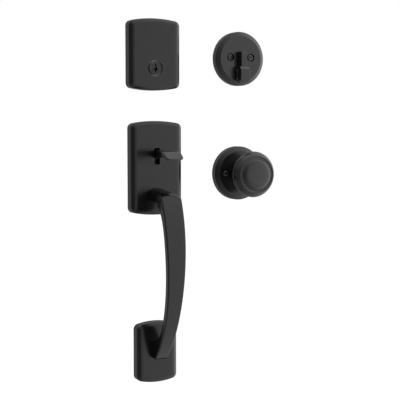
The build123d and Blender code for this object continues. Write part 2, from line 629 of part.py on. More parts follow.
def grip_side():
    """Side view of the grip in (Y, Z): arm, bowed bar of even thickness and foot, past the crowned top."""
    seat, t = -PLATE_T, GRIP_THICKNESS
    arm_low = GRIP_TOP_Z - GRIP_ARM_HEIGHT
    foot_top = GRIP_FOOT_Z + GRIP_FOOT_SEAT
    front = Spline((-GRIP_TOP_DEPTH, GRIP_TOP_Z), (-GRIP_SHOULDER_DEPTH, GRIP_SHOULDER_Z),
                   (-GRIP_BELLY_DEPTH, GRIP_BELLY_Z), (-GRIP_LOWER_DEPTH, GRIP_LOWER_Z),
                   (-GRIP_FOOT_DEPTH, GRIP_FOOT_Z))
    start = GRIP_BACK_INSET / front.length
    end = 1 - start
    back = []
    for i in range(GRIP_BACK_POINTS):
        u = start + (end - start) * i / (GRIP_BACK_POINTS - 1)
        along = front % u
        back.append(front @ u + Vector(-along.Y, along.X) * t)
    bend = -GRIP_BEND_START_DEPTH
    middle = (-GRIP_BEND_MIDDLE_DEPTH, arm_low - GRIP_BEND_MIDDLE_DROP)
    inner = Spline((bend, arm_low), middle, *[(p.X, p.Y) for p in back])
    heel = TangentArc(inner @ 1, (seat, foot_top), tangent=inner % 1)
    above = front @ 0 - (front % 0) * TRIM
    edges = [
        Line((seat, above.Y), (above.X, above.Y)),
        Line((above.X, above.Y), (-GRIP_TOP_DEPTH, GRIP_TOP_Z)),
        front,
        Line((-GRIP_FOOT_DEPTH, GRIP_FOOT_Z), (seat, GRIP_FOOT_Z)),
        Line((seat, GRIP_FOOT_Z), (seat, foot_top)),
        inner,
        heel,
        Line((bend, arm_low), (seat, arm_low)),
        Line((seat, arm_low), (seat, above.Y)),
    ]
    return make_face(edges)


def grip_front():
    """Front view of the grip in (X, Z), past both ends: sides that taper to the foot."""
    top, mid = GRIP_TOP_WIDTH / 2, GRIP_MIDDLE_WIDTH / 2
    low, foot = GRIP_LOWER_WIDTH / 2, GRIP_FOOT_WIDTH / 2
    above, below = GRIP_TOP_Z + TRIM, GRIP_FOOT_Z - TRIM
    right = Spline((top, above), (mid, GRIP_BELLY_Z), (low, GRIP_LOWER_Z), (foot, below))
    left = Spline((-top, above), (-mid, GRIP_BELLY_Z), (-low, GRIP_LOWER_Z), (-foot, below))
    return make_face([right, left, Line((-top, above), (top, above)), Line((-foot, below), (foot, below))])


def crowned_below(drop):
    """Front view of all that lies below the grip's crown, in (X, Z)."""
    half, crown = GRIP_TOP_WIDTH / 2 + TRIM, GRIP_TOP_Z - drop
    corner = crown - GRIP_TOP_CROWN_R + math.sqrt(GRIP_TOP_CROWN_R ** 2 - half ** 2)
    floor = GRIP_FOOT_Z - TRIM
    sides = Polyline((half, corner), (half, floor), (-half, floor), (-half, corner))
    return make_face([*sides.edges(), ThreePointArc((-half, corner), (0, crown), (half, corner))])


def grip_cap():
    """Crowned top of the grip with a sloping edge at the front."""
    full, lowered = crowned_below(0), crowned_below(GRIP_TOP_EDGE_DROP)
    near, far = GRIP_TOP_DEPTH - GRIP_TOP_EDGE, GRIP_TOP_DEPTH + GRIP_TOP_EDGE
    slope = loft([Plane.XZ.offset(near) * full, Plane.XZ.offset(far) * lowered], ruled=True)
    return extrude(Plane.XZ * full, near) + slope + extrude(Plane.XZ.offset(far) * lowered, GRIP_BELLY_DEPTH)


def pull_grip():
    """Bowed bar that tapers to its foot, with an arm on the handle plate and a foot on the lower one."""
    half = GRIP_TOP_WIDTH / 2 + TRIM
    side = extrude(Plane.YZ.offset(-half) * grip_side(), 2 * half)
    grip = side & extrude(Plane.XZ * grip_front(), GRIP_BELLY_DEPTH + TRIM)
    long = [e for e in grip.edges() if e.bounding_box().min.Y < -GRIP_BELLY_DEPTH
            and e.bounding_box().size.Z > GRIP_THICKNESS * 4]
    grip = chamfer(long, GRIP_EDGE) & grip_cap()
    hole_end = PLATE_T + GRIP_SCREW_BITE + TRIM
    grip -= rod(GRIP_SCREW_R + RUNNING, -PLATE_T, -hole_end, 0, grip_screw_z())
    grip -= rod(GRIP_SCREW_R + RUNNING, -PLATE_T, -PLATE_T - LOWER_POST_BITE - TRIM, 0, foot_centre_z())
    return grip


def foot_centre_z():
    return GRIP_FOOT_Z + GRIP_FOOT_SEAT / 2


def grip_screw():
    """Screw from inside the handle plate into the grip's arm."""
    z = grip_screw_z()
    head = rod(GRIP_SCREW_HEAD_R, -PLATE_INSIDE, -PLATE_INSIDE + GRIP_SCREW_HEAD_H, 0, z)
    hexagon = Pos(0, z) * RegularPolygon(GRIP_SCREW_SOCKET_R, 6)
    socket = extrude(Plane.XZ.offset(PLATE_INSIDE - GRIP_SCREW_HEAD_H) * hexagon, GRIP_SCREW_SOCKET_DEPTH)
    shank = rod(GRIP_SCREW_R, -PLATE_INSIDE, -PLATE_T - GRIP_SCREW_BITE, 0, z)
    return head - socket + shank


def lower_plate():
    plate = plate_shell(LOWER_PLATE_WIDTH, LOWER_PLATE_HEIGHT, LOWER_CROWN_R)
    return plate - rod(GRIP_SCREW_R + EASY, 0, -PLATE_T, 0, foot_centre_z() - LOWER_PLATE_Z)


def lower_post():
    """Stud into the grip's foot and threaded barrel into the door, about the foot's centre."""
    barrel = rod(LOWER_POST_R, -PLATE_INSIDE, REACH_INTO_DOOR)
    stud = rod(GRIP_SCREW_R, -PLATE_INSIDE, -PLATE_T - LOWER_POST_BITE)
    return barrel + stud - rod(POST_HOLE_R, REACH_INTO_DOOR - POST_THREAD_DEPTH, REACH_INTO_DOOR)


# Inside knob unit, about its axis

def knob():
    """Turned hollow knob: neck, flared back, rim, sloping shoulder, groove and raised domed disc."""
    back_r = KNOB_R - KNOB_BACK_EDGE
    back_depth = KNOB_RIM_BACK + KNOB_BACK_EDGE_DEPTH
    ball_r = (KNOB_DISC_R ** 2 + KNOB_DOME ** 2) / (2 * KNOB_DOME)
    half_angle = math.asin(KNOB_DISC_R / ball_r) / 2
    half_way = Vector(ball_r * math.sin(half_angle), ball_r * math.cos(half_angle) - ball_r + KNOB_DOME)
    flare = (KNOB_FLARE_R, KNOB_FLARE_BEHIND_RIM - KNOB_RIM_BACK)
    disc_side = (KNOB_DISC_SIDE_R, KNOB_DISC_SIDE_BEHIND_FACE - KNOB_DISC_DEPTH)
    outer = [
        Line((0, -KNOB_NECK_BASE), (KNOB_NECK_R, -KNOB_NECK_BASE)),
        Line((KNOB_NECK_R, -KNOB_NECK_BASE), (KNOB_NECK_R, -KNOB_NECK_TOP)),
        Spline((KNOB_NECK_R, -KNOB_NECK_TOP), flare, (back_r, -KNOB_RIM_BACK),
               tangents=((0, -1), (1, -0.35))),
        Line((back_r, -KNOB_RIM_BACK), (KNOB_R, -back_depth)),
        Line((KNOB_R, -back_depth), (KNOB_R, -KNOB_RIM_FRONT)),
        Spline((KNOB_R, -KNOB_RIM_FRONT), (KNOB_SHOULDER_R, -KNOB_SHOULDER_DEPTH),
               (KNOB_LIP_R, -KNOB_LIP_DEPTH)),
        Line((KNOB_LIP_R, -KNOB_LIP_DEPTH), (KNOB_GROOVE_R, -KNOB_GROOVE_DEPTH)),
        Spline((KNOB_GROOVE_R, -KNOB_GROOVE_DEPTH), disc_side, (KNOB_DISC_R, -KNOB_DISC_DEPTH),
               tangents=((-0.15, -1), (-1, -0.12))),
        ThreePointArc((KNOB_DISC_R, -KNOB_DISC_DEPTH), (half_way.X, -KNOB_DISC_DEPTH - half_way.Y),
                      (0, -KNOB_DISC_DEPTH - KNOB_DOME)),
        Line((0, -KNOB_DISC_DEPTH - KNOB_DOME), (0, -KNOB_NECK_BASE)),
    ]
    solid = revolve(make_face(outer), Axis.Y)
    wall, seat_r = KNOB_WALL, SHANK_FLANGE_R + EASY
    front = KNOB_LIP_DEPTH - 1.4 * wall
    cavity = turned([(0, KNOB_SEAT), (seat_r, KNOB_SEAT), (seat_r, KNOB_SEAT + 2 * SHANK_FLANGE),
                     (KNOB_R - 2 * wall, KNOB_RIM_BACK + wall - TRIM),
                     (KNOB_R - 1.6 * wall, KNOB_RIM_FRONT - TRIM), (KNOB_LIP_R - wall, front), (0, front)])
    return solid - cavity - rod(SHANK_R + RUNNING, -KNOB_NECK_BASE, -KNOB_SEAT - TRIM)


def knob_shank():
    """Tube through the collar with a flange inside the knob and a square socket at the back."""
    front = -KNOB_SEAT - SHANK_FLANGE
    shank = rod(SHANK_R, front, SHAFT_REAR) + rod(SHANK_FLANGE_R, front, -KNOB_SEAT)
    shank -= clip_groove(SHANK_R, CLIP_FRONT)
    return shank - spindle_socket(-SHANK_SOCKET_DEPTH, SHAFT_REAR, EASY)


def knob_spring():
    """Return spring around the collar behind the rose."""
    mean = SHANK_R + SHANK_COLLAR_WALL + KNOB_SPRING_WIRE_R + EASY
    start = BACKPLATE + KNOB_SPRING_WIRE_R + EASY
    room = SHANK_COLLAR_HEIGHT - start - KNOB_SPRING_WIRE_R
    wound = coil(mean, KNOB_SPRING_WIRE_R, room / KNOB_SPRING_TURNS, room)
    return Pos(0, -start, 0) * Rot(90, 0, 0) * wound


def pieces():
    """Every node and its place."""
    deadbolt = Pos(DEADBOLT_X, 0, DEADBOLT_Z)
    key = Pos(DEADBOLT_X, 0, DEADBOLT_Z - KEY_DROP)
    turn = Pos(THUMBTURN_X, 0, THUMBTURN_Z)
    latch = Pos(0, 0, LATCH_AXIS_Z)
    lower = Pos(0, 0, LOWER_PLATE_Z)
    foot = Pos(0, 0, foot_centre_z())
    inside = Pos(KNOB_X, 0, KNOB_Z)
    bolt_screws = [rose_screw(x, z) for x, z in screw_places(BOLT_SCREW_SPREAD, BOLT_SCREW_RISE)]
    knob_screws = [rose_screw(x, z) for x, z in screw_places(LATCH_SCREW_SPREAD, 0)]
    return {
        "deadbolt_plate": deadbolt * deadbolt_plate(),
        "deadbolt_backplate": deadbolt * deadbolt_backplate(),
        "cylinder_housing": key * cylinder_housing(),
        "key_plug": key * key_plug(),
        "plug_clip": key * retaining_clip(PLUG_R, BARREL_REAR + RUNNING),
        "tailpiece": key * tailpiece(),
        "thumbturn_rose": turn * recessed_rose(BOLT_SCREW_SPREAD, BOLT_SCREW_RISE, TURN_SHAFT_R + SWING_GAP,
                                               TURN_SHAFT_R + TURN_COLLAR_WALL + EASY),
        "thumbturn_backplate": turn * rose_backplate(BOLT_SCREW_SPREAD, BOLT_SCREW_RISE, TURN_SHAFT_R,
                                                     TURN_COLLAR_WALL, TURN_COLLAR_HEIGHT),
        "thumbturn": turn * thumbturn(),
        "turn_washer": turn * turn_washer(),
        "turn_clip": turn * retaining_clip(TURN_SHAFT_R, CLIP_FRONT),
        "thumbturn_screws": Compound([turn * s for s in bolt_screws]),
        "handle_plate": handle_plate(),
        "handle_chassis": handle_chassis(),
        "thumb_latch": thumb_latch(),
        "latch_pin": latch_pin(),
        "latch_spring": latch_spring(),
        "lift_cam": latch * lift_cam(),
        "cam_clip": latch * retaining_clip(CAM_HUB_R, CLIP_FRONT),
        "latch_spindle": latch * latch_spindle(),
        "pull_grip": pull_grip(),
        "grip_screw": grip_screw(),
        "lower_plate": lower * lower_plate(),
        "lower_post": foot * lower_post(),
        "knob_rose": inside * recessed_rose(LATCH_SCREW_SPREAD, 0, KNOB_NECK_R + HOLE_EASE,
                                            KNOB_NECK_R + HOLE_EASE),
        "knob_backplate": inside * rose_backplate(LATCH_SCREW_SPREAD, 0, SHANK_R,
                                                  SHANK_COLLAR_WALL, SHANK_COLLAR_HEIGHT),
        "knob": inside * knob(),
        "knob_shank": inside * knob_shank(),
        "knob_clip": inside * retaining_clip(SHANK_R, CLIP_FRONT),
        "knob_spring": inside * knob_spring(),
        "knob_screws": Compound([inside * s for s in knob_screws]),
    }


os.makedirs("parts", exist_ok=True)
for name, solid in pieces().items():
    export_step(solid, f"parts/{name}.step")
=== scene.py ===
"""Entry door handleset: finishes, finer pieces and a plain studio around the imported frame.

Metres, +Z up, -Y out of the door. Outside units stand in the left column, inside units in the right.
"""

import math

import bmesh
import bpy
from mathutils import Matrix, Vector
from mathutils.bvhtree import BVHTree


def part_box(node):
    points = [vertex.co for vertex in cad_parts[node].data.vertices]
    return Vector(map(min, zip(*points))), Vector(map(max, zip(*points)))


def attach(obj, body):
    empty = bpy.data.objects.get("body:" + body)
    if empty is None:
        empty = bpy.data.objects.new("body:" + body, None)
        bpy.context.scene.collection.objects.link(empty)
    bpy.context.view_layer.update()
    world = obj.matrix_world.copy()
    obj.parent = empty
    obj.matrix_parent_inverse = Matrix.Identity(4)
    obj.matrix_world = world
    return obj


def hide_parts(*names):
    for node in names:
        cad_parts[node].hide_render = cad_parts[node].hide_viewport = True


bl_info = {
    "name": "Entry Door Handleset",
    "version": (1, 0, 0),
    "blender": (4, 5, 0),
    "location": "View3D > Sidebar > Handleset",
    "description": "Finishes, finer pieces and a plain studio for a packed entry door handleset",
    "category": "Object",
}

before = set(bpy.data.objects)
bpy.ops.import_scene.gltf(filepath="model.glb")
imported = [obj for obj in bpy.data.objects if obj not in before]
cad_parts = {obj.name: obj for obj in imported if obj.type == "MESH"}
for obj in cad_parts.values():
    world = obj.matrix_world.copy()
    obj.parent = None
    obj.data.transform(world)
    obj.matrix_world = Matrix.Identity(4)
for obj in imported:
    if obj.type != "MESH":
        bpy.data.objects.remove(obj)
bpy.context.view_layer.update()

OUTSIDE_CASTINGS = ("deadbolt_plate", "handle_plate", "lower_plate", "thumb_latch", "pull_grip", "key_plug")
INSIDE_CASTINGS = ("thumbturn_rose", "thumbturn", "knob_rose", "knob")
CAST_PIECES = ("cylinder_housing", "lower_post")
PLATED_PIECES = ("deadbolt_backplate", "thumbturn_backplate", "knob_backplate", "handle_chassis", "tailpiece",
                 "lift_cam", "latch_spindle", "latch_pin", "grip_screw", "knob_shank")
SPRING_PIECES = ("plug_clip", "turn_clip", "cam_clip", "knob_clip",
                 "knob_spring", "latch_spring", "turn_washer")
SCREW_PIECES = ("thumbturn_screws", "knob_screws")

MILLIMETRE = 0.001
SAME_POINT = 1e-6
INTO_DOOR = Vector((0, 1, 0))
UP = Vector((0, 0, 1))


class Term:
    """A value in a shader tree. Arithmetic on terms adds the Math nodes that work it out."""

    def __init__(self, tree, socket):
        self.tree = tree
        self.socket = socket

    def _math(self, operation, first, second):
        node = self.tree.add("ShaderNodeMath", {"operation": operation}, {0: first, 1: second})
        return Term(self.tree, node.outputs[0])

    def __add__(self, other):
        return self._math("ADD", self, other)

    def __sub__(self, other):
        return self._math("SUBTRACT", self, other)

    def __rsub__(self, other):
        return self._math("SUBTRACT", other, self)

    def __mul__(self, other):
        return self._math("MULTIPLY", self, other)

    def __truediv__(self, other):
        return self._math("DIVIDE", self, other)

    def __pow__(self, other):
        return self._math("POWER", self, other)

    __radd__ = __add__
    __rmul__ = __mul__

    def clipped(self):
        """The same value kept between 0 and 1."""
        node = self.tree.add("ShaderNodeClamp", {}, {0: self})
        return Term(self.tree, node.outputs[0])


class NodeTree:
    """The nodes of a material, the world or a modifier, each made by add()."""

    def __init__(self, tree):
        self.nodes = tree.nodes
        self.links = tree.links
        self.nodes.clear()

    def add(self, kind, settings, inputs):
        """A node of a kind: its settings first, then values or links for its sockets."""
        node = self.nodes.new(kind)
        for name, value in settings.items():
            if name == "stops":
                set_stops(node.color_ramp, value)
            else:
                setattr(node, name, value)
        for key, value in inputs.items():
            source = value.socket if isinstance(value, Term) else value
            if isinstance(source, bpy.types.NodeSocket):
                self.links.new(source, node.inputs[key])
            else:
                node.inputs[key].default_value = source
        return node

    def term(self, kind, settings, inputs, output=0):
        """The same as add(), handing back one output as a term."""
        return Term(self, self.add(kind, settings, inputs).outputs[output])

    def vector(self, operation, first, second):
        """Vector Math on two vectors, or on a vector and its scale."""
        key = 3 if operation == "SCALE" else 1
        output = 1 if operation == "LENGTH" else 0
        return self.term("ShaderNodeVectorMath", {"operation": operation}, {0: first, key: second}, output)


def shader_tree(owner):
    """A material's or world's emptied node tree."""
    owner.use_nodes = True
    return NodeTree(owner.node_tree)


def modifier_tree(name, sockets, result):
    """A Geometry Nodes group with named inputs: its tree, and its inputs as terms by name."""
    group = bpy.data.node_groups.new(name, "GeometryNodeTree")
    for socket, kind in sockets:
        group.interface.new_socket(socket, in_out="INPUT", socket_type="NodeSocket" + kind)
    group.interface.new_socket(result, in_out="OUTPUT", socket_type="NodeSocketGeometry")
    tree = NodeTree(group)
    given = tree.add("NodeGroupInput", {}, {})
    return group, tree, {socket: Term(tree, given.outputs[socket]) for socket, _ in sockets}


def grown(name, mesh, group, values):
    """A plain mesh that a Geometry Nodes group makes from a guide mesh and its input values."""
    host = bpy.data.objects.new(name + "_guides", mesh)
    bpy.context.scene.collection.objects.link(host)
    grow = host.modifiers.new("grow", "NODES")
    grow.node_group = group
    for item in group.interface.items_tree:
        if item.in_out == "INPUT" and item.name in values:
            grow[item.identifier] = values[item.name]
    made = bpy.data.meshes.new_from_object(host.evaluated_get(bpy.context.evaluated_depsgraph_get()))
    host.modifiers.remove(grow)
    bpy.data.objects.remove(host)
    made.name = name
    return made


def closed(mesh, sharp_angle):
    """Merges doubles, fills the open ends, turns the faces outwards and shades them smooth."""
    work = bmesh.new()
    work.from_mesh(mesh)
    bmesh.ops.remove_doubles(work, verts=work.verts, dist=SAME_POINT)
    bmesh.ops.holes_fill(work, edges=[e for e in work.edges if e.is_boundary], sides=0)
    bmesh.ops.recalc_face_normals(work, faces=work.faces)
    work.to_mesh(mesh)
    work.free()
    mesh.shade_smooth()
    mesh.set_sharp_from_angle(angle=math.radians(sharp_angle))
    return mesh


def placed(name, mesh, material, body, slot, *replaced):
    """Makes a mesh a piece that rides on a body and stands for CAD nodes."""
    mesh.materials.clear()
    mesh.materials.append(material)
    piece = bpy.data.objects.new(name, mesh)
    bpy.context.scene.collection.objects.link(piece)
    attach(piece, body)
    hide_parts(*replaced)
    return piece


def hull_of(node):
    """A CAD node's surface, to cast lines at."""
    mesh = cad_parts[node].data
    return BVHTree.FromPolygons([v.co for v in mesh.vertices], [p.vertices for p in mesh.polygons])


def set_stops(ramp, stops):
    """Colour ramp stops as (position, grey level) pairs."""
    while len(ramp.elements) > 1:
        ramp.elements.remove(ramp.elements[-1])
    for i, (position, level) in enumerate(stops):
        stop = ramp.elements[0] if i == 0 else ramp.elements.new(position)
        stop.position = position
        stop.color = (level, level, level, 1)


class FinishSettings(bpy.types.PropertyGroup):
    """Colours and textures of the finishes."""

    # One satin black paint, the same inside and out, kept as two copies: the outside copy is painted darker
    # to deepen the shade beside the grip and the latch, and the inside copy is painted about three times
    # lighter
    shade_darkened_coat_colour: bpy.props.FloatVectorProperty(
        name="Coat Colour", description="Satin black coat on the castings", subtype="COLOR",
        size=4, min=0, max=1, default=(0.0062, 0.0062, 0.0065, 1))
    lit_inside_colour: bpy.props.FloatVectorProperty(
        name="Lit Inside Coat Colour", description="Satin black coat on the inside units", subtype="COLOR",
        size=4, min=0, max=1, default=(0.018, 0.018, 0.0185, 1))
    coat_roughness: bpy.props.FloatProperty(
        name="Coat Roughness", description="How matt the satin coat is", min=0, max=1, default=0.22)
    coat_grain: bpy.props.FloatProperty(
        name="Coat Grain", description="Width of the coat's fine orange peel", unit="LENGTH",
        min=0.0001, max=0.01, default=0.0009)
    steel_colour: bpy.props.FloatVectorProperty(
        name="Plated Steel Colour", description="Zinc plating on the hidden steel", subtype="COLOR",
        size=4, min=0, max=1, default=(0.50, 0.51, 0.53, 1))
    spring_colour: bpy.props.FloatVectorProperty(
        name="Spring Colour", description="Drawn spring wire and clips", subtype="COLOR",
        size=4, min=0, max=1, default=(0.34, 0.33, 0.32, 1))
    cast_colour: bpy.props.FloatVectorProperty(
        name="Raw Casting Colour", description="Uncoated zinc casting", subtype="COLOR",
        size=4, min=0, max=1, default=(0.36, 0.36, 0.37, 1))
    screw_colour: bpy.props.FloatVectorProperty(
        name="Screw Colour", description="Blackened screw heads", subtype="COLOR",
        size=4, min=0, max=1, default=(0.10, 0.10, 0.103, 1))


class StudioSettings(bpy.types.PropertyGroup):
    """Light, floor and camera."""

    key_level: bpy.props.FloatProperty(
        name="Key Level", description="Light from the key lamp, where 1 shows a white sheet as white",
        min=0, max=3, default=0.55)
    fill_level: bpy.props.FloatProperty(
        name="Fill Level", description="Even light from all round", min=0, max=1, default=0.22)
    tent_pole: bpy.props.FloatProperty(
        name="Tent Poles", description="Middle level of the light tent above and below",
        min=0, max=2, default=0.95)
    tent_rise: bpy.props.FloatProperty(
        name="Tent Rise", description="How much brighter the light tent is above", min=0, max=1, default=0.4)
    key_size: bpy.props.FloatProperty(
        name="Key Size", description="Width of the key lamp", unit="LENGTH", min=0.02, max=3, default=0.35)
    key_turn: bpy.props.FloatProperty(
        name="Key Turn", description="Key lamp's turn to the right of straight ahead", subtype="ANGLE",
        min=-1.5, max=1.5, default=math.radians(16))
    key_rise: bpy.props.FloatProperty(
        name="Key Rise", description="Key lamp's height angle", subtype="ANGLE",
        min=-1.5, max=1.5, default=math.radians(3))
    key_distance: bpy.props.FloatProperty(
        name="Key Distance", description="From the key lamp to the set", unit="LENGTH",
        min=0.5, max=6, default=1.6)
    floor_drop: bpy.props.FloatProperty(
        name="Floor Drop", description="Floor below the middle of the handle plate", unit="LENGTH",
        min=0.2, max=2, default=0.95)
    eye: bpy.props.FloatVectorProperty(
        name="Eye", description="Where the camera stands", subtype="TRANSLATION", unit="LENGTH",
        size=3, default=(-0.5032, -1.1709, 0.0564))
    aim: bpy.props.FloatVectorProperty(
        name="Aim", description="What the camera looks at", subtype="TRANSLATION", unit="LENGTH",
        size=3, default=(0.0628, 0.0, -0.04075))
    lens: bpy.props.FloatProperty(
        name="Lens", description="Focal length in millimetres on a 36 mm frame",
        min=20, max=300, default=96.2)


# How the satin coat varies from place to place: patches in a metre, how much patches and flecks change its
# gloss, and the height of its peel
COAT_PATCHES = 26.0
PATCH_GLOSS = 0.10
FLECK_GLOSS = 0.08
PEEL_HEIGHT = 0.00004
# The same for plain metal
METAL_PATCHES = 40.0
METAL_GLOSS = 0.2
GRAIN_HEIGHT = 0.00005


def toned(tree, colour, darkest, lightest, share):
    """A colour that runs from a darker to a lighter tone of itself."""
    dark, light = ([min(part * tone, 1) for part in colour[:3]] + [1] for tone in (darkest, lightest))
    mix = tree.add("ShaderNodeMix", {"data_type": "RGBA"}, {0: share.clipped(), 6: dark, 7: light})
    return mix.outputs[2]


def satin_coat(name, colour, finish):
    """Satin black paint over a casting: faint orange peel, patchy gloss and a hint of dust."""
    material = bpy.data.materials.new(name)
    tree = shader_tree(material)
    place = tree.term("ShaderNodeTexCoord", {}, {}, "Object")
    grain = 1 / finish.coat_grain
    peel = tree.term("ShaderNodeTexNoise", {}, {
        "Vector": place, "Scale": grain, "Detail": 2.0, "Roughness": 0.5})
    patch = tree.term("ShaderNodeTexNoise", {}, {"Vector": place, "Scale": COAT_PATCHES, "Detail": 3.0})
    fleck = tree.term("ShaderNodeTexNoise", {}, {"Vector": place, "Scale": grain * 1.9, "Detail": 4.0})
    rough = finish.coat_roughness + PATCH_GLOSS * (patch - 0.5) + FLECK_GLOSS * (fleck - 0.5)
    tone = toned(tree, colour, 0.8, 1.2, patch * 0.5 + fleck * 0.5)
    bump = tree.add("ShaderNodeBump", {}, {"Strength": 0.12, "Distance": PEEL_HEIGHT, "Height": peel})
    shader = tree.add("ShaderNodeBsdfPrincipled", {}, {
        "Base Color": tone, "Roughness": rough, "Specular IOR Level": 0.5, "Normal": bump.outputs[0]})
    tree.add("ShaderNodeOutputMaterial", {}, {"Surface": shader.outputs[0]})
    return material


def metal(name, colour, roughness, grain):
    """Plain metal with drawn or tumbled grain."""
    material = bpy.data.materials.new(name)
    tree = shader_tree(material)
    place = tree.term("ShaderNodeTexCoord", {}, {}, "Object")
    fine = tree.term("ShaderNodeTexNoise", {}, {"Vector": place, "Scale": 1 / grain, "Detail": 3.0})
    patch = tree.term("ShaderNodeTexNoise", {}, {"Vector": place, "Scale": METAL_PATCHES, "Detail": 2.0})
    tone = toned(tree, colour, 0.75, 1.2, fine * 0.4 + patch * 0.6)
    bump = tree.add("ShaderNodeBump", {}, {"Strength": 0.2, "Distance": GRAIN_HEIGHT, "Height": fine})
    shader = tree.add("ShaderNodeBsdfPrincipled", {}, {
        "Base Color": tone, "Roughness": roughness + METAL_GLOSS * (patch - 0.5), "Metallic": 1.0,
        "Normal": bump.outputs[0]})
    tree.add("ShaderNodeOutputMaterial", {}, {"Surface": shader.outputs[0]})
    return material


def wear(node, material):
    """Gives a CAD node one finish."""
    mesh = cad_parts[node].data
    mesh.materials.clear()
    mesh.materials.append(material)


class GripSettings(bpy.types.PropertyGroup):
    """Shape of the pull grip's edges and arm."""

    edge_radius: bpy.props.FloatProperty(
        name="Edge Radius", description="Softness of the grip's long edges", unit="LENGTH",
        min=0.0002, max=0.004, default=0.0015)
    arm_rise: bpy.props.FloatProperty(
        name="Arm Rise", description="How much higher the arm's top lies at the plate than at the front",
        unit="LENGTH", min=0, max=0.01, default=0.0041)
    crown_drop: bpy.props.FloatProperty(
        name="Crown Drop", description="How much lower the crowned top lies at its sides", unit="LENGTH",
        min=0, max=0.01, default=0.0036)
    bevel_run: bpy.props.FloatProperty(
        name="Bevel Run", description="Depth of the sloping edge at the top of the front", unit="LENGTH",
        min=0.0005, max=0.006, default=0.0026)
    bevel_drop: bpy.props.FloatProperty(
        name="Bevel Drop", description="Height of that sloping edge", unit="LENGTH",
        min=0.0005, max=0.006, default=0.0022)
    points_round: bpy.props.IntProperty(
        name="Points Round", description="Points round each section", min=24, max=192, default=96)


def bowed_bar_group():
    """Skins three guide lines (crown, edge and inner) with a soft-edged rectangular section.

    The guide mesh holds the three lines one after another, with a half width at each point.
    """
    group, tree, given = modifier_tree("bowed_bar", (
        ("Guides", "Geometry"), ("Stations", "Int"), ("Points Round", "Int"), ("Edge Radius", "Float"),
        ("Finish", "Material")), "Bar")
    stations, radius = given["Stations"], given["Edge Radius"]
    grid = tree.add("GeometryNodeMeshGrid", {}, {
        "Size X": 1.0, "Size Y": 1.0, "Vertices X": given["Points Round"] + 1, "Vertices Y": stations})
    spot = tree.add("ShaderNodeSeparateXYZ", {}, {0: tree.term("GeometryNodeInputPosition", {}, {})})
    turn = (Term(tree, spot.outputs[0]) + 0.5) * (2 * math.pi)
    row = tree.term("ShaderNodeMath", {"operation": "ROUND"}, {
        0: (Term(tree, spot.outputs[1]) + 0.5) * (stations - 1)})
    place = tree.term("GeometryNodeInputPosition", {}, {})
    half_width = tree.term("GeometryNodeInputNamedAttribute", {"data_type": "FLOAT"}, {"Name": "half_width"})

    def guide(kind, value, line):
        return tree.term("GeometryNodeSampleIndex", {"data_type": kind, "domain": "POINT"}, {
            "Geometry": given["Guides"], "Value": value, "Index": row + stations * line})

    def trig(operation, value):
        return tree.term("ShaderNodeMath", {"operation": operation}, {0: value})

    across, along = trig("COSINE", turn), trig("SINE", turn)
    flat_across, flat_along = trig("ABSOLUTE", across), trig("ABSOLUTE", along)
    lean = tree.term("ShaderNodeMath", {"operation": "ARCTAN2"}, {0: flat_along, 1: flat_across})
    corner = ((lean * 3 - math.pi / 2) / (math.pi / 2)).clipped() * (math.pi / 2)
    half = guide("FLOAT", half_width, 0)
    reach = (flat_across * 2).clipped() * (half - radius) + trig("COSINE", corner) * radius
    x = trig("SIGN", across) * reach
    share = (x / half) * (x / half)
    crown, edge, inner = (guide("FLOAT_VECTOR", place, line) for line in range(3))
    outer = tree.vector("ADD", crown, tree.vector("SCALE", tree.vector("SUBTRACT", edge, crown), share))
    through = tree.vector("SUBTRACT", outer, inner)
    thick = tree.vector("LENGTH", through, (0, 0, 0))
    reach = (flat_along * 2).clipped() * (thick * 0.5 - radius) + trig("SINE", corner) * radius
    offset = tree.vector("SCALE", tree.vector("NORMALIZE", through, (0, 0, 0)), trig("SIGN", along) * reach)
    middle = tree.vector("SCALE", tree.vector("ADD", outer, inner), 0.5)
    spot = tree.vector("ADD", middle, offset)
    spot = tree.vector("ADD", spot, tree.term("ShaderNodeCombineXYZ", {}, {0: x}))
    skin = tree.add("GeometryNodeSetPosition", {}, {"Geometry": grid.outputs["Mesh"], "Position": spot})
    seam = tree.add("GeometryNodeMergeByDistance", {}, {"Geometry": skin.outputs[0], "Distance": SAME_POINT})
    real = tree.add("GeometryNodeRealizeInstances", {}, {0: seam.outputs[0]})
    done = tree.add("GeometryNodeSetMaterial", {}, {"Geometry": real.outputs[0], "Material": given["Finish"]})
    tree.add("NodeGroupOutput", {}, {0: done.outputs[0]})
    return group


# Where the grip's arm and foot stand, on the face of the plates
GRIP_SEAT = -0.0142
# Stations of the grip's sections: along the arm, round the top corner, then down the bow, the first this far
# below the corner and the others this far apart
ARM_STEPS = 10
CORNER_STEPS = 7
BOW_LEAD, BOW_STEP = 0.0006, 0.002
CORNER_BULGE = 1.25
# The sections fan about this point at the corner, and turn square to the bow from one height on to another
FAN_CENTRE = Vector((0, -0.022, -0.060))
FAN_END, BOW_START = -0.046, -0.076
# The crown fades out over this height below the top corner
CROWN_FADE = 0.022
CROWN_FADE_POWER = 1.5
# The foot's end: shares of the way back to its plate, and how far its inner side falls on that way
FOOT_SHARES = (0, 0.3, 0.6, 1)
FOOT_FALL = 0.002
# Lines are cast at the solid from far out, from under the arm, beside the grip screw's hole, beside the
# middle seam, just above the grip's end, and from just under its skin
FAR_OUT = 1.0
ABOVE_END = 1e-5
BELOW_CORNER = 0.002
UNDER_ARM = Vector((0, GRIP_SEAT - 0.002, -0.06))
BESIDE_SCREW = Vector((0.0045, 0, 0))
BESIDE_SEAM = 0.0002
UNDER_SKIN = 0.0015
UNDER_EDGE = 0.003
# The bow's slope is taken this far to either side of a station
SLOPE_REACH = 0.001


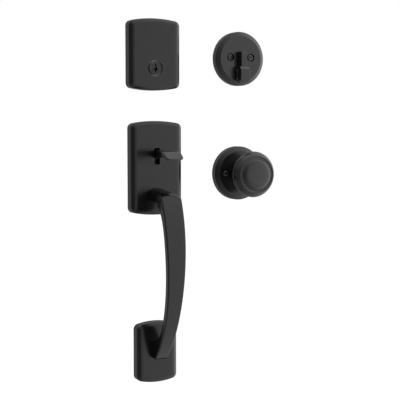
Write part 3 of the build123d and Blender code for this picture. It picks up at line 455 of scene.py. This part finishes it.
def grip_guides(grip):
    """Crown, edge and inner line of the pull grip, and its half width at each station."""
    low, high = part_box("pull_grip")
    surface = hull_of("pull_grip")
    drop = Vector((0, 0, -grip.crown_drop))
    face_z = high[2] - grip.bevel_drop
    crown, edge, inner, halves = [], [], [], []

    def front_point(z):
        z = max(z, low[2] + ABOVE_END)
        return Vector((0, surface.ray_cast(Vector((BESIDE_SEAM, -FAR_OUT, z)), INTO_DOOR)[0].y, z))

    def half_width(point, inward):
        inside = point + inward * UNDER_EDGE
        return surface.ray_cast(Vector((FAR_OUT, inside.y, inside.z)), Vector((-1, 0, 0)))[0].x

    def inner_point(point, inward):
        hit = surface.ray_cast(point + inward * UNDER_SKIN + BESIDE_SCREW, inward)[0]
        return Vector((0, hit.y, hit.z))

    def station(top, side, below, half):
        crown.append(top)
        edge.append(side)
        inner.append(below)
        halves.append(half)

    def cast_station(top, side, inward, start):
        station(top, side, inner_point(start, inward), half_width(start, inward))

    corner_y = front_point(face_z - BELOW_CORNER).y + grip.bevel_run
    for step in range(ARM_STEPS):
        share = step / ARM_STEPS
        start = Vector((0, GRIP_SEAT + (corner_y - GRIP_SEAT) * share, high[2]))
        top = start + UP * grip.arm_rise * (1 - share)
        if step == 0:
            below = surface.ray_cast(UNDER_ARM, UP)[0]
            half = half_width(start - INTO_DOOR * 0.001, -UP)
            station(top, top + drop, Vector((0, GRIP_SEAT, below.z)), half)
        else:
            cast_station(top, top + drop, (FAN_CENTRE - start).normalized(), start)
    for step in range(CORNER_STEPS):
        share = step / (CORNER_STEPS - 1)
        fall = grip.bevel_drop * share ** CORNER_BULGE
        top = Vector((0, corner_y - grip.bevel_run * share, high[2] - fall))
        cast_station(top, top + drop, (FAN_CENTRE - top).normalized(), top)
    z = face_z - BOW_LEAD
    while z > low[2]:
        top = front_point(z)
        tangent = (front_point(z - SLOPE_REACH) - front_point(z + SLOPE_REACH)).normalized()
        square = Vector((0, -tangent.z, tangent.y))
        turned = min(max((FAN_END - z) / (FAN_END - BOW_START), 0), 1)
        inward = ((FAN_CENTRE - top).normalized() * (1 - turned) + square * turned).normalized()
        fade = max(1 - (face_z - z) / CROWN_FADE, 0) ** CROWN_FADE_POWER
        cast_station(top, front_point(z - grip.crown_drop * fade), inward, top)
        z -= BOW_STEP
    foot, seat, half = front_point(low[2] + 2 * ABOVE_END), inner[-1].z, halves[-1]
    for share in FOOT_SHARES:
        end = Vector((0, foot.y + (GRIP_SEAT - foot.y) * share, low[2]))
        station(end, end, Vector((0, GRIP_SEAT, seat + FOOT_FALL * (1 - share))), half)
    return crown, edge, inner, halves


class HANDLESET_OT_shape_pull_grip(bpy.types.Operator):
    """Skin the pull grip from its guide lines, with soft edges and a crowned top"""

    bl_idname = "handleset.shape_pull_grip"
    bl_label = "Shape the Pull Grip"

    def execute(self, context):
        grip = context.scene.handleset_grip
        crown, edge, inner, halves = grip_guides(grip)
        mesh = bpy.data.meshes.new("pull_grip_guides")
        mesh.from_pydata(crown + edge + inner, [], [])
        widths = mesh.attributes.new("half_width", "FLOAT", "POINT")
        for item, half in zip(widths.data, halves * 3):
            item.value = half
        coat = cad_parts["pull_grip"].data.materials[0]
        made = grown("bowed_pull_grip", mesh, bowed_bar_group(), {
            "Stations": len(crown), "Points Round": grip.points_round, "Edge Radius": grip.edge_radius,
            "Finish": coat})
        placed("bowed_pull_grip", closed(made, 50), coat, "fixed_units", "satin_black", "pull_grip")
        return {"FINISHED"}


class PlateSettings(bpy.types.PropertyGroup):
    """Shape of the rectangular plates."""

    corner_radius: bpy.props.FloatProperty(
        name="Corner Radius", description="Rounding of the plates' corners", unit="LENGTH",
        min=0.003, max=0.02, default=0.0065)
    wall: bpy.props.FloatProperty(
        name="Wall", description="Thickness of the cast shells", unit="LENGTH",
        min=0.001, max=0.004, default=0.0024)
    bevel_run: bpy.props.FloatProperty(
        name="Bevel Run", description="How far the soft bevel reaches in over the face", unit="LENGTH",
        min=0.003, max=0.012, default=0.0069)
    bevel_rise: bpy.props.FloatProperty(
        name="Bevel Rise", description="Height of the soft bevel", unit="LENGTH",
        min=0.001, max=0.006, default=0.0036)
    plug_gap: bpy.props.FloatProperty(
        name="Plug Gap", description="Gap round the key plug", unit="LENGTH",
        min=0.0002, max=0.003, default=0.0011)


# Bevel from the side wall to the face, as shares of its run and of its rise: soft rim, slope, shallow slope
BEVEL_LINE = ((0.0, 0.0), (0.012, 0.13), (0.04, 0.243), (0.08, 0.32), (0.125, 0.38), (0.30, 0.605),
              (0.48, 0.83), (0.53, 0.875), (0.59, 0.905), (0.75, 0.952), (0.90, 0.992), (0.95, 0.998),
              (1.0, 1.0))
# Break of the edge against the door, and the least corner radii inside and outside
BACK_EDGE = 0.0003
INNER_CORNER = 0.001
OUTER_CORNER = 0.002
# Points in each quarter of a ring
CORNER_POINTS = 10
EDGE_POINTS = 16
# Radius of the arcs that crown each plate's top and bottom
CROWNED_PLATES = {"deadbolt_plate": 0.150, "handle_plate": 0.150, "lower_plate": 0.088}
# The thumb latch's slot: half width, bottom, top and corner radius
LATCH_SLOT = (0.0035, 0.0042, 0.0237, 0.0008)
# How far a cutting tool reaches past the surface it goes through
TOOL_OVERRUN = 0.001


def crowned_ring(half_width, half_height, crown, corner):
    """Points round a rectangle whose top and bottom are shallow arcs, as (x, z), anticlockwise."""
    centre = half_height - crown
    rise = centre + math.sqrt((crown - corner) ** 2 - (half_width - corner) ** 2)
    lean = math.atan2(rise - centre, half_width - corner)
    quarter = [(half_width, rise * i / EDGE_POINTS) for i in range(EDGE_POINTS)]
    for i in range(CORNER_POINTS + 1):
        turn = lean * i / CORNER_POINTS
        quarter.append((half_width - corner + corner * math.cos(turn), rise + corner * math.sin(turn)))
    for i in range(1, EDGE_POINTS + 1):
        turn = lean + (math.pi / 2 - lean) * i / EDGE_POINTS
        quarter.append((crown * math.cos(turn), centre + crown * math.sin(turn)))
    upper = quarter + [(-x, z) for x, z in reversed(quarter[1:-1])] + [(-half_width, 0)]
    return upper + [(-x, -z) for x, z in upper[1:-1]]


def ringed_shell(rings):
    """A closed skin over a run of point rings, capped at both ends."""
    mesh = bpy.data.meshes.new("shell")
    count = len(rings[0])
    points = [point for ring in rings for point in ring]
    faces = [tuple(range(count)), tuple(reversed(range(len(points) - count, len(points))))]
    for row in range(len(rings) - 1):
        for i in range(count):
            a, b = row * count + i, row * count + (i + 1) % count
            faces.append((a, a + count, b + count, b))
    mesh.from_pydata(points, [], faces)
    return mesh


def crowned_plate(node, crown, plate):
    """A plate's shell on the CAD plate's own box, with a soft bevel."""
    low, high = (Vector(corner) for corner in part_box(node))
    middle, size = (low + high) / 2, high - low
    depth = -low.y

    def ring(inset, out, least):
        corner = max(plate.corner_radius - inset, least)
        points = crowned_ring(size.x / 2 - inset, size.z / 2 - inset, crown - inset, corner)
        return [(middle.x + x, -out, middle.z + z) for x, z in points]

    side = depth - plate.bevel_rise
    inside = [(plate.wall * 1.6, depth - plate.wall), (plate.wall, side - plate.wall / 2), (plate.wall, 0)]
    outside = [(BACK_EDGE, 0), (0, BACK_EDGE), (0, side / 2)]
    outside += [(plate.bevel_run * run, side + plate.bevel_rise * rise) for run, rise in BEVEL_LINE]
    return ringed_shell([ring(inset, out, INNER_CORNER) for inset, out in inside]
                        + [ring(inset, out, OUTER_CORNER) for inset, out in outside])


def helper(mesh):
    """An object to cut with, to cut or to copy, which is removed after use."""
    made = bpy.data.objects.new("helper", mesh)
    bpy.context.scene.collection.objects.link(made)
    return made


def lathed(line, points_round, x=0, z=0):
    """A closed skin turned about an axis along Y from a line of (radius, y)."""
    around = [math.tau * i / points_round for i in range(points_round)]
    return ringed_shell([[(x + radius * math.cos(turn), y, z + radius * math.sin(turn)) for turn in around]
                         for radius, y in line])


def soft_slot(half, bottom, top, corner, ends):
    """A tool with rounded corners for the thumb latch's slot, from one depth to another."""
    ring = []
    for quarter, (x, z) in enumerate(((half - corner, top - corner), (corner - half, top - corner),
                                      (corner - half, bottom + corner), (half - corner, bottom + corner))):
        for i in range(7):
            turn = (quarter + i / 6) * math.pi / 2
            ring.append((x + corner * math.cos(turn), z + corner * math.sin(turn)))
    return ringed_shell([[(x, y, z) for x, z in ring] for y in ends])


def cut_through(name, mesh, tools):
    """The mesh with each tool's shape cut out of it."""
    body = helper(mesh)
    for tool in tools:
        cut = body.modifiers.new("cut", "BOOLEAN")
        cut.object = helper(closed(tool, 30))
        cut.solver = "EXACT"
    made = bpy.data.meshes.new_from_object(body.evaluated_get(bpy.context.evaluated_depsgraph_get()))
    made.name = name
    for cut in list(body.modifiers):
        used = cut.object
        body.modifiers.remove(cut)
        bpy.data.objects.remove(used)
    bpy.data.objects.remove(body)
    return made


class HANDLESET_OT_shape_plates(bpy.types.Operator):
    """Shape the three crowned plates, with the key plug's hole and the thumb latch's slot"""

    bl_idname = "handleset.shape_plates"
    bl_label = "Shape the Plates"

    def execute(self, context):
        plate = context.scene.handleset_plates
        low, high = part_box("key_plug")
        plug_x, plug_z = (low[0] + high[0]) / 2, (low[2] + high[2]) / 2
        hole = (high[0] - low[0]) / 2 + plate.plug_gap
        ends = (TOOL_OVERRUN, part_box("handle_plate")[0][1] - TOOL_OVERRUN)
        holes = {
            "deadbolt_plate": [lathed([(hole, y) for y in ends], 96, plug_x, plug_z)],
            "handle_plate": [soft_slot(*LATCH_SLOT, ends)],
            "lower_plate": [],
        }
        for node, crown in CROWNED_PLATES.items():
            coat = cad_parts[node].data.materials[0]
            shell = closed(crowned_plate(node, crown, plate), 50)
            if holes[node]:
                shell = closed(cut_through(node, shell, holes[node]), 50)
            placed("crowned_" + node, shell, coat, "fixed_units", "satin_black", node)
        return {"FINISHED"}


class LatchSettings(bpy.types.PropertyGroup):
    """Shape of the thumb latch's pad."""

    dish: bpy.props.FloatProperty(
        name="Dish", description="How far the pad is hollowed for the thumb", unit="LENGTH",
        min=0, max=0.003, default=0.0006)
    squareness: bpy.props.FloatProperty(
        name="Squareness", description="How square the lever's section is, where 2 is an ellipse",
        min=2, max=12, default=5)
    points_round: bpy.props.IntProperty(
        name="Points Round", description="Points round each section", min=24, max=192, default=72)


# The lever from the slot out to its tip, in millimetres: depth, height of its top, half width, thickness
LEVER_LINE = ((11.0, 22.3, 2.7, 11.2), (16.0, 21.9, 2.8, 10.6), (20.0, 21.5, 3.0, 9.8),
              (25.0, 21.0, 3.4, 8.7), (31.0, 20.5, 4.1, 7.3), (38.0, 20.3, 5.8, 5.9),
              (44.0, 20.8, 8.3, 5.2), (48.5, 21.2, 10.6, 5.0), (51.5, 20.7, 11.8, 4.6),
              (54.0, 19.8, 12.0, 4.2), (57.0, 18.3, 11.9, 3.8), (60.0, 16.6, 11.6, 3.5),
              (62.5, 15.2, 11.2, 3.4), (64.4, 14.2, 10.6, 3.2), (65.6, 13.5, 9.8, 2.8),
              (66.3, 13.0, 8.8, 2.0), (66.55, 12.7, 8.0, 1.0))
# The pad's hollow deepens between these depths
HOLLOW_START, HOLLOW_FULL = 44, 54
# The solid lever gives way to the skinned one inside the plate's wall
LEVER_CUT = -0.0118


def lever_skin(latch):
    """Flared stem and dished pad, skinned over sections square to their line."""
    power = 2 / latch.squareness
    rings = []
    for i, (depth, top, half, thick) in enumerate(LEVER_LINE):
        near, far = LEVER_LINE[max(i - 1, 0)], LEVER_LINE[min(i + 1, len(LEVER_LINE) - 1)]
        along = Vector((0, near[0] - far[0], far[1] - near[1])).normalized()
        up = Vector((0, along.z, -along.y))
        share = min(max((depth - HOLLOW_START) / (HOLLOW_FULL - HOLLOW_START), 0), 1)
        hollow = share * latch.dish / MILLIMETRE
        ring = []
        for k in range(latch.points_round):
            turn = math.tau * k / latch.points_round
            across, rise = math.cos(turn), math.sin(turn)
            x = math.copysign(abs(across) ** power, across)
            z = (math.copysign(abs(rise) ** power, rise) - 1) * thick / 2 - hollow * (1 - x * x)
            ring.append((Vector((x * half, -depth, top)) + up * z) * MILLIMETRE)
        rings.append(ring)
    return ringed_shell(rings)


class HANDLESET_OT_shape_thumb_latch(bpy.types.Operator):
    """Skin the thumb latch's flared stem and pad on the CAD lever's barrel and tail"""

    bl_idname = "handleset.shape_thumb_latch"
    bl_label = "Shape the Thumb Latch"

    def execute(self, context):
        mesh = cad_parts["thumb_latch"].data.copy()
        coat = mesh.materials[0]
        work = bmesh.new()
        work.from_mesh(mesh)
        bmesh.ops.remove_doubles(work, verts=work.verts, dist=SAME_POINT)
        cut = bmesh.ops.bisect_plane(work, geom=[*work.verts, *work.edges, *work.faces],
                                     plane_co=(0, LEVER_CUT, 0), plane_no=-INTO_DOOR, clear_outer=True)
        rim = [edge for edge in cut["geom_cut"] if isinstance(edge, bmesh.types.BMEdge)]
        bmesh.ops.holes_fill(work, edges=rim, sides=0)
        work.from_mesh(closed(lever_skin(context.scene.handleset_latch), 40))
        work.to_mesh(mesh)
        work.free()
        mesh.name = "spoon_thumb_latch"
        placed("spoon_thumb_latch", closed(mesh, 40), coat, "lever", "satin_black", "thumb_latch")
        return {"FINISHED"}


class KnobSettings(bpy.types.PropertyGroup):
    """Shape of the inside knob."""

    points_round: bpy.props.IntProperty(
        name="Points Round", description="Points round the turned knob", min=32, max=256, default=160)


# The knob's outline in millimetres, as radius and depth out of the door: where it starts, then straight runs
# with one point and curved runs with their control points and end
KNOB_START = (9.3, 7.3)
KNOB_RUNS = (
    ((12.1, 7.2),),
    ((12.4, 7.2), (12.4, 7.6)),
    ((12.4, 24.0),),
    ((12.4, 32.5), (15.2, 36.4), (18.0, 38.0)),
    ((26.0, 43.0),),
    ((27.5, 43.7), (27.5, 44.8)),
    ((27.5, 46.2),),
    ((27.4, 47.3), (25.8, 50.4), (24.6, 52.1)),
    ((23.2, 54.1), (22.1, 54.95), (21.3, 54.4)),
    ((20.3, 53.7), (19.3, 53.5), (18.3, 55.1)),
    ((17.4, 56.5), (15.6, 57.35), (13.0, 57.6)),
    ((8.0, 58.08), (1.0, 58.09)),
)
KNOB_INSIDE = ((1.0, 51.2), (20.5, 50.8), (23.5, 46.0), (15.2, 40.5), (9.3, 30.0))
CURVE_STEPS = 6


def bezier(controls, share):
    """The point at a share of the way along a Bezier curve."""
    while len(controls) > 1:
        controls = [near.lerp(far, share) for near, far in zip(controls, controls[1:])]
    return controls[0]


def outline(start, runs):
    """Points along straight and curved runs, each from the end of the one before."""
    points = [Vector(start)]
    for run in runs:
        controls = [points[-1], *(Vector(point) for point in run)]
        steps = CURVE_STEPS if len(run) > 1 else 1
        points += [bezier(controls, (step + 1) / steps) for step in range(steps)]
    return points


class HANDLESET_OT_turn_knob(bpy.types.Operator):
    """Turn the inside knob with its soft cove and domed disc"""

    bl_idname = "handleset.turn_knob"
    bl_label = "Turn the Knob"

    def execute(self, context):
        low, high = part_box("knob")
        x, z = (low[0] + high[0]) / 2, (low[2] + high[2]) / 2
        line = [(radius * MILLIMETRE, -depth * MILLIMETRE)
                for radius, depth in [*KNOB_INSIDE, *outline(KNOB_START, KNOB_RUNS)]]
        shell = closed(lathed(line, context.scene.handleset_knob.points_round, x, z), 50)
        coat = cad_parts["knob"].data.materials[0]
        placed("turned_knob", shell, coat, "inside_knob", "satin_black", "knob")
        return {"FINISHED"}


class ScrewSettings(bpy.types.PropertyGroup):
    """Sizes of the machine screws that hold the inside units."""

    head_radius: bpy.props.FloatProperty(
        name="Head Radius", description="Radius of the screw heads", unit="LENGTH",
        min=0.002, max=0.006, default=0.0039)
    head_height: bpy.props.FloatProperty(
        name="Head Height", description="Height of the screw heads", unit="LENGTH",
        min=0.001, max=0.005, default=0.0026)
    shaft_radius: bpy.props.FloatProperty(
        name="Shaft Radius", description="Radius of the screw shafts", unit="LENGTH",
        min=0.001, max=0.004, default=0.0024)
    cross_half_width: bpy.props.FloatProperty(
        name="Cross Half Width", description="Half width of the cross recess's arms", unit="LENGTH",
        min=0.0002, max=0.002, default=0.0007)
    turn_seed: bpy.props.IntProperty(
        name="Turn Seed", description="Seed for how far each screw is turned", min=0, max=1000, default=5)


def placed_screws_group():
    """Stands one screw on each guide point, each turned about its own axis."""
    group, tree, given = modifier_tree("placed_screws", (
        ("Places", "Geometry"), ("Screw", "Object"), ("Turn Seed", "Int"), ("Finish", "Material")), "Screws")
    screw = tree.add("GeometryNodeObjectInfo", {}, {"Object": given["Screw"], "As Instance": True})
    turn = tree.add("FunctionNodeRandomValue", {"data_type": "FLOAT"}, {
        "Min": -0.5, "Max": 0.5, "Seed": given["Turn Seed"]})
    lean = tree.term("ShaderNodeCombineXYZ", {}, {1: next(o for o in turn.outputs if o.enabled)})
    stood = tree.add("GeometryNodeInstanceOnPoints", {}, {
        "Points": given["Places"], "Instance": screw.outputs["Geometry"], "Rotation": lean})
    real = tree.add("GeometryNodeRealizeInstances", {}, {0: stood.outputs[0]})
    done = tree.add("GeometryNodeSetMaterial", {}, {"Geometry": real.outputs[0], "Material": given["Finish"]})
    tree.add("NodeGroupOutput", {}, {0: done.outputs[0]})
    return group


# The rounded head, as shares of its radius and how far each lies below its top
HEAD_LINE = ((0.35, 0.0), (0.72, 0.00018), (0.88, 0.0005), (0.97, 0.001), (1.0, 0.0016))
# Shares of the shaft's radius at the shoulder and the point, and the point's length
SHOULDER_SHARE = 1.12
POINT_SHARE = 0.7
POINT_LENGTH = 0.0008
# Reach, depth and taper of the cross recess, as shares of the head's radius, its height and the recess's top
CROSS_ARM_SHARE = 0.6
CROSS_DEPTH_SHARE = 0.55
CROSS_TAPER = 0.55


def machine_screw(screws, length):
    """One screw along Y, its head's top at the origin, with a rounded head and a cross recess."""
    head, high, shaft = screws.head_radius, screws.head_height, screws.shaft_radius
    shoulder = shaft * SHOULDER_SHARE
    line = [(head * share, y) for share, y in HEAD_LINE]
    line += [(head, high), (shoulder, high + 0.0001), (shoulder, length * 0.4), (shaft, length * 0.42),
             (shaft, length - POINT_LENGTH), (shaft * POINT_SHARE, length)]
    arm, half = head * CROSS_ARM_SHARE, screws.cross_half_width
    levels = ((-TOOL_OVERRUN, 1.0), (0.0, 1.0), (high * CROSS_DEPTH_SHARE, CROSS_TAPER))
    tools = [ringed_shell([[(x * share, y, z * share) for x, z in ((-a, -b), (a, -b), (a, b), (-a, b))]
                           for y, share in levels]) for a, b in ((arm, half), (half, arm))]
    return closed(cut_through("machine_screw", closed(lathed(line, 48), 30), tools), 30)


class HANDLESET_OT_set_screws(bpy.types.Operator):
    """Stand the machine screws in the roses' recesses"""

    bl_idname = "handleset.set_screws"
    bl_label = "Set the Screws"

    def execute(self, context):
        screws = context.scene.handleset_screws
        group = placed_screws_group()
        for node in SCREW_PIECES:
            low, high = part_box(node)
            z = (low[2] + high[2]) / 2
            model = helper(machine_screw(screws, high[1] - low[1]))
            places = bpy.data.meshes.new(node + "_places")
            columns = (low[0] + screws.head_radius, high[0] - screws.head_radius)
            places.from_pydata([(x, low[1], z) for x in columns], [], [])
            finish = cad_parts[node].data.materials[0]
            made = grown("set_" + node, places, group, {
                "Screw": model, "Turn Seed": screws.turn_seed, "Finish": finish})
            bpy.data.objects.remove(model)
            placed("set_" + node, closed(made, 30), finish, "fixed_units", "black_screw", node)
        return {"FINISHED"}


class HANDLESET_OT_finish_frame(bpy.types.Operator):
    """Give every CAD piece its finish"""

    bl_idname = "handleset.finish_frame"
    bl_label = "Finish the Frame"

    def execute(self, context):
        finish = context.scene.handleset_finish
        finishes = (
            # The outside castings take the coat painted darker for shade, and the inside castings take the
            # lighter painted copy of the same paint
            (OUTSIDE_CASTINGS, satin_coat("satin_black_shade_darkened_coat", finish.shade_darkened_coat_colour, finish)),
            (INSIDE_CASTINGS, satin_coat("satin_black_lit_inside_coat", finish.lit_inside_colour, finish)),
            (CAST_PIECES, metal("raw_zinc_casting", finish.cast_colour, roughness=0.5, grain=0.0012)),
            (PLATED_PIECES, metal("zinc_plated_steel", finish.steel_colour, roughness=0.34, grain=0.0008)),
            (SPRING_PIECES, metal("spring_wire", finish.spring_colour, roughness=0.3, grain=0.0004)),
            (SCREW_PIECES, metal("blackened_screw", finish.screw_colour, roughness=0.42, grain=0.0005)),
        )
        for nodes, material in finishes:
            for node in nodes:
                wear(node, material)
        return {"FINISHED"}


def aimed(obj, place, target):
    """Turns a lamp or the camera to look from one point at another."""
    obj.location = place
    obj.rotation_euler = (Vector(target) - Vector(place)).to_track_quat("-Z", "Y").to_euler()


# What the gloss sees of the light tent: angle to the right of straight ahead, and the level there
TENT_LEVELS = ((-180, 0.16), (-168, 0.26), (-154, 0.42), (-120, 0.30), (-90, 0.28), (-60, 0.20), (-40, 0.15),
               (-20, 0.24), (0, 0.5), (26, 1.08), (45, 1.6), (60, 1.95), (90, 2.1), (120, 0.9), (150, 0.28),
               (180, 0.16))
TENT_TOP = 2.1
FLOOR_HALF_WIDTH = 20.0
PAPER_WHITE = (0.9, 0.9, 0.9, 1)
LAMP_WHITE = (1, 1, 1, 1)
# The floor's own glow in the picture: its strength, its share, and what is added on top
GLOW_STRENGTH = 0.85
GLOW_SHARE = 0.85
GLOW_LIFT = 0.3
# The camera's frame width in millimetres, and how near and far it sees
FRAME_WIDTH = 36
NEAREST, FARTHEST = 0.05, 100


class HANDLESET_OT_build_stage(bpy.types.Operator):
    """Lay the pale floor, light the set and stand the camera"""

    bl_idname = "handleset.build_stage"
    bl_label = "Build the Stage"

    def execute(self, context):
        studio = context.scene.handleset_studio
        self.floor(studio)
        self.surroundings(studio)
        self.lamps(studio)
        camera = bpy.data.objects.new("camera", bpy.data.cameras.new("camera"))
        context.scene.collection.objects.link(camera)
        camera.data.lens = studio.lens
        camera.data.sensor_width = FRAME_WIDTH
        camera.data.clip_start = NEAREST
        camera.data.clip_end = FARTHEST
        aimed(camera, studio.eye, studio.aim)
        context.scene.camera = camera
        context.scene.view_settings.view_transform = "Standard"
        return {"FINISHED"}

    def floor(self, studio):
        """A wide pale floor that keeps the set's shadow."""
        mesh = bpy.data.meshes.new("floor")
        half, z = FLOOR_HALF_WIDTH, -studio.floor_drop
        corners = [(-half, -half, z), (half, -half, z), (half, half, z), (-half, half, z)]
        mesh.from_pydata(corners, [], [(0, 1, 2, 3)])
        floor = bpy.data.objects.new("floor", mesh)
        bpy.context.scene.collection.objects.link(floor)
        material = bpy.data.materials.new("pale_floor")
        tree = shader_tree(material)
        ray = tree.add("ShaderNodeLightPath", {}, {})
        seen = Term(tree, ray.outputs["Is Camera Ray"]) + Term(tree, ray.outputs["Is Glossy Ray"])
        seen = (seen + Term(tree, ray.outputs["Is Transmission Ray"])).clipped()
        paper = tree.add("ShaderNodeBsdfDiffuse", {}, {"Color": PAPER_WHITE})
        glow = tree.add("ShaderNodeEmission", {}, {"Color": LAMP_WHITE, "Strength": GLOW_STRENGTH})
        lift = tree.add("ShaderNodeEmission", {}, {"Color": LAMP_WHITE, "Strength": seen * GLOW_LIFT})
        both = tree.add("ShaderNodeMixShader", {}, {
            0: seen * GLOW_SHARE, 1: paper.outputs[0], 2: glow.outputs[0]})
        lifted = tree.add("ShaderNodeAddShader", {}, {0: both.outputs[0], 1: lift.outputs[0]})
        tree.add("ShaderNodeOutputMaterial", {}, {"Surface": lifted.outputs[0]})
        mesh.materials.append(material)
        floor.visible_glossy = False

    def surroundings(self, studio):
        """White all round for the camera, the light tent for the gloss and an even fill for the rest."""
        world = bpy.data.worlds.new("studio")
        bpy.context.scene.world = world
        world.cycles.sampling_method = "NONE"
        tree = shader_tree(world)
        ray = tree.add("ShaderNodeLightPath", {}, {})
        seen = Term(tree, ray.outputs["Is Camera Ray"]) + Term(tree, ray.outputs["Is Transmission Ray"])
        seen = seen.clipped()
        gloss = Term(tree, ray.outputs["Is Glossy Ray"])
        direction = tree.add("ShaderNodeTexCoord", {}, {})
        split = tree.add("ShaderNodeSeparateXYZ", {}, {0: direction.outputs["Generated"]})
        x, y, z = (Term(tree, split.outputs[axis]) for axis in "XYZ")
        turn = tree.term("ShaderNodeMath", {"operation": "ARCTAN2"}, {0: x, 1: y * -1.0}) / math.tau + 0.5
        stops = [(0.5 + angle / 360, level / TENT_TOP) for angle, level in TENT_LEVELS]
        tent = tree.term("ShaderNodeValToRGB", {"stops": stops}, {0: turn}) * TENT_TOP
        sideways = 1 - z * z
        poles = studio.tent_pole + studio.tent_rise * z
        sheen = tent * sideways + poles * (1 - sideways)
        level = seen + gloss * sheen + (1 - (seen + gloss).clipped()) * studio.fill_level
        sky = tree.add("ShaderNodeBackground", {}, {"Color": LAMP_WHITE, "Strength": level})
        tree.add("ShaderNodeOutputWorld", {}, {"Surface": sky.outputs[0]})

    def lamps(self, studio):
        """One soft key lamp, which the gloss doesn't see."""
        turn, rise = studio.key_turn, studio.key_rise
        out = Vector((math.sin(turn) * math.cos(rise), -math.cos(turn) * math.cos(rise), math.sin(rise)))
        place = Vector(studio.aim) + out * studio.key_distance
        data = bpy.data.lights.new("key", "AREA")
        data.shape = "SQUARE"
        data.size = studio.key_size
        data.energy = studio.key_level * math.pi ** 2 * studio.key_distance ** 2
        lamp = bpy.data.objects.new("key", data)
        lamp.visible_glossy = False
        bpy.context.scene.collection.objects.link(lamp)
        aimed(lamp, place, studio.aim)


class HANDLESET_PT_sidebar(bpy.types.Panel):
    """Settings and steps of the door handleset"""

    bl_label = "Door Handleset"
    bl_idname = "HANDLESET_PT_sidebar"
    bl_space_type = "VIEW_3D"
    bl_region_type = "UI"
    bl_category = "Handleset"

    def draw(self, context):
        for name, group in GROUPS:
            box = self.layout.box()
            for setting in group.__annotations__:
                box.prop(getattr(context.scene, name), setting)
        for step in STEPS:
            self.layout.operator(step.bl_idname)


STEPS = (HANDLESET_OT_finish_frame, HANDLESET_OT_shape_plates, HANDLESET_OT_shape_pull_grip,
         HANDLESET_OT_shape_thumb_latch, HANDLESET_OT_turn_knob, HANDLESET_OT_set_screws,
         HANDLESET_OT_build_stage)
GROUPS = (("handleset_finish", FinishSettings), ("handleset_studio", StudioSettings),
          ("handleset_plates", PlateSettings), ("handleset_grip", GripSettings),
          ("handleset_latch", LatchSettings), ("handleset_knob", KnobSettings),
          ("handleset_screws", ScrewSettings))
CLASSES = (*(group for _, group in GROUPS), *STEPS, HANDLESET_PT_sidebar)


def register():
    for cls in CLASSES:
        bpy.utils.register_class(cls)
    for name, group in GROUPS:
        setattr(bpy.types.Scene, name, bpy.props.PointerProperty(type=group))


def unregister():
    for name, _ in GROUPS:
        delattr(bpy.types.Scene, name)
    for cls in reversed(CLASSES):
        bpy.utils.unregister_class(cls)


def main():
    register()
    for step in STEPS:
        area, name = step.bl_idname.split(".")
        getattr(getattr(bpy.ops, area), name)()


if __name__ == "__main__":
    main()
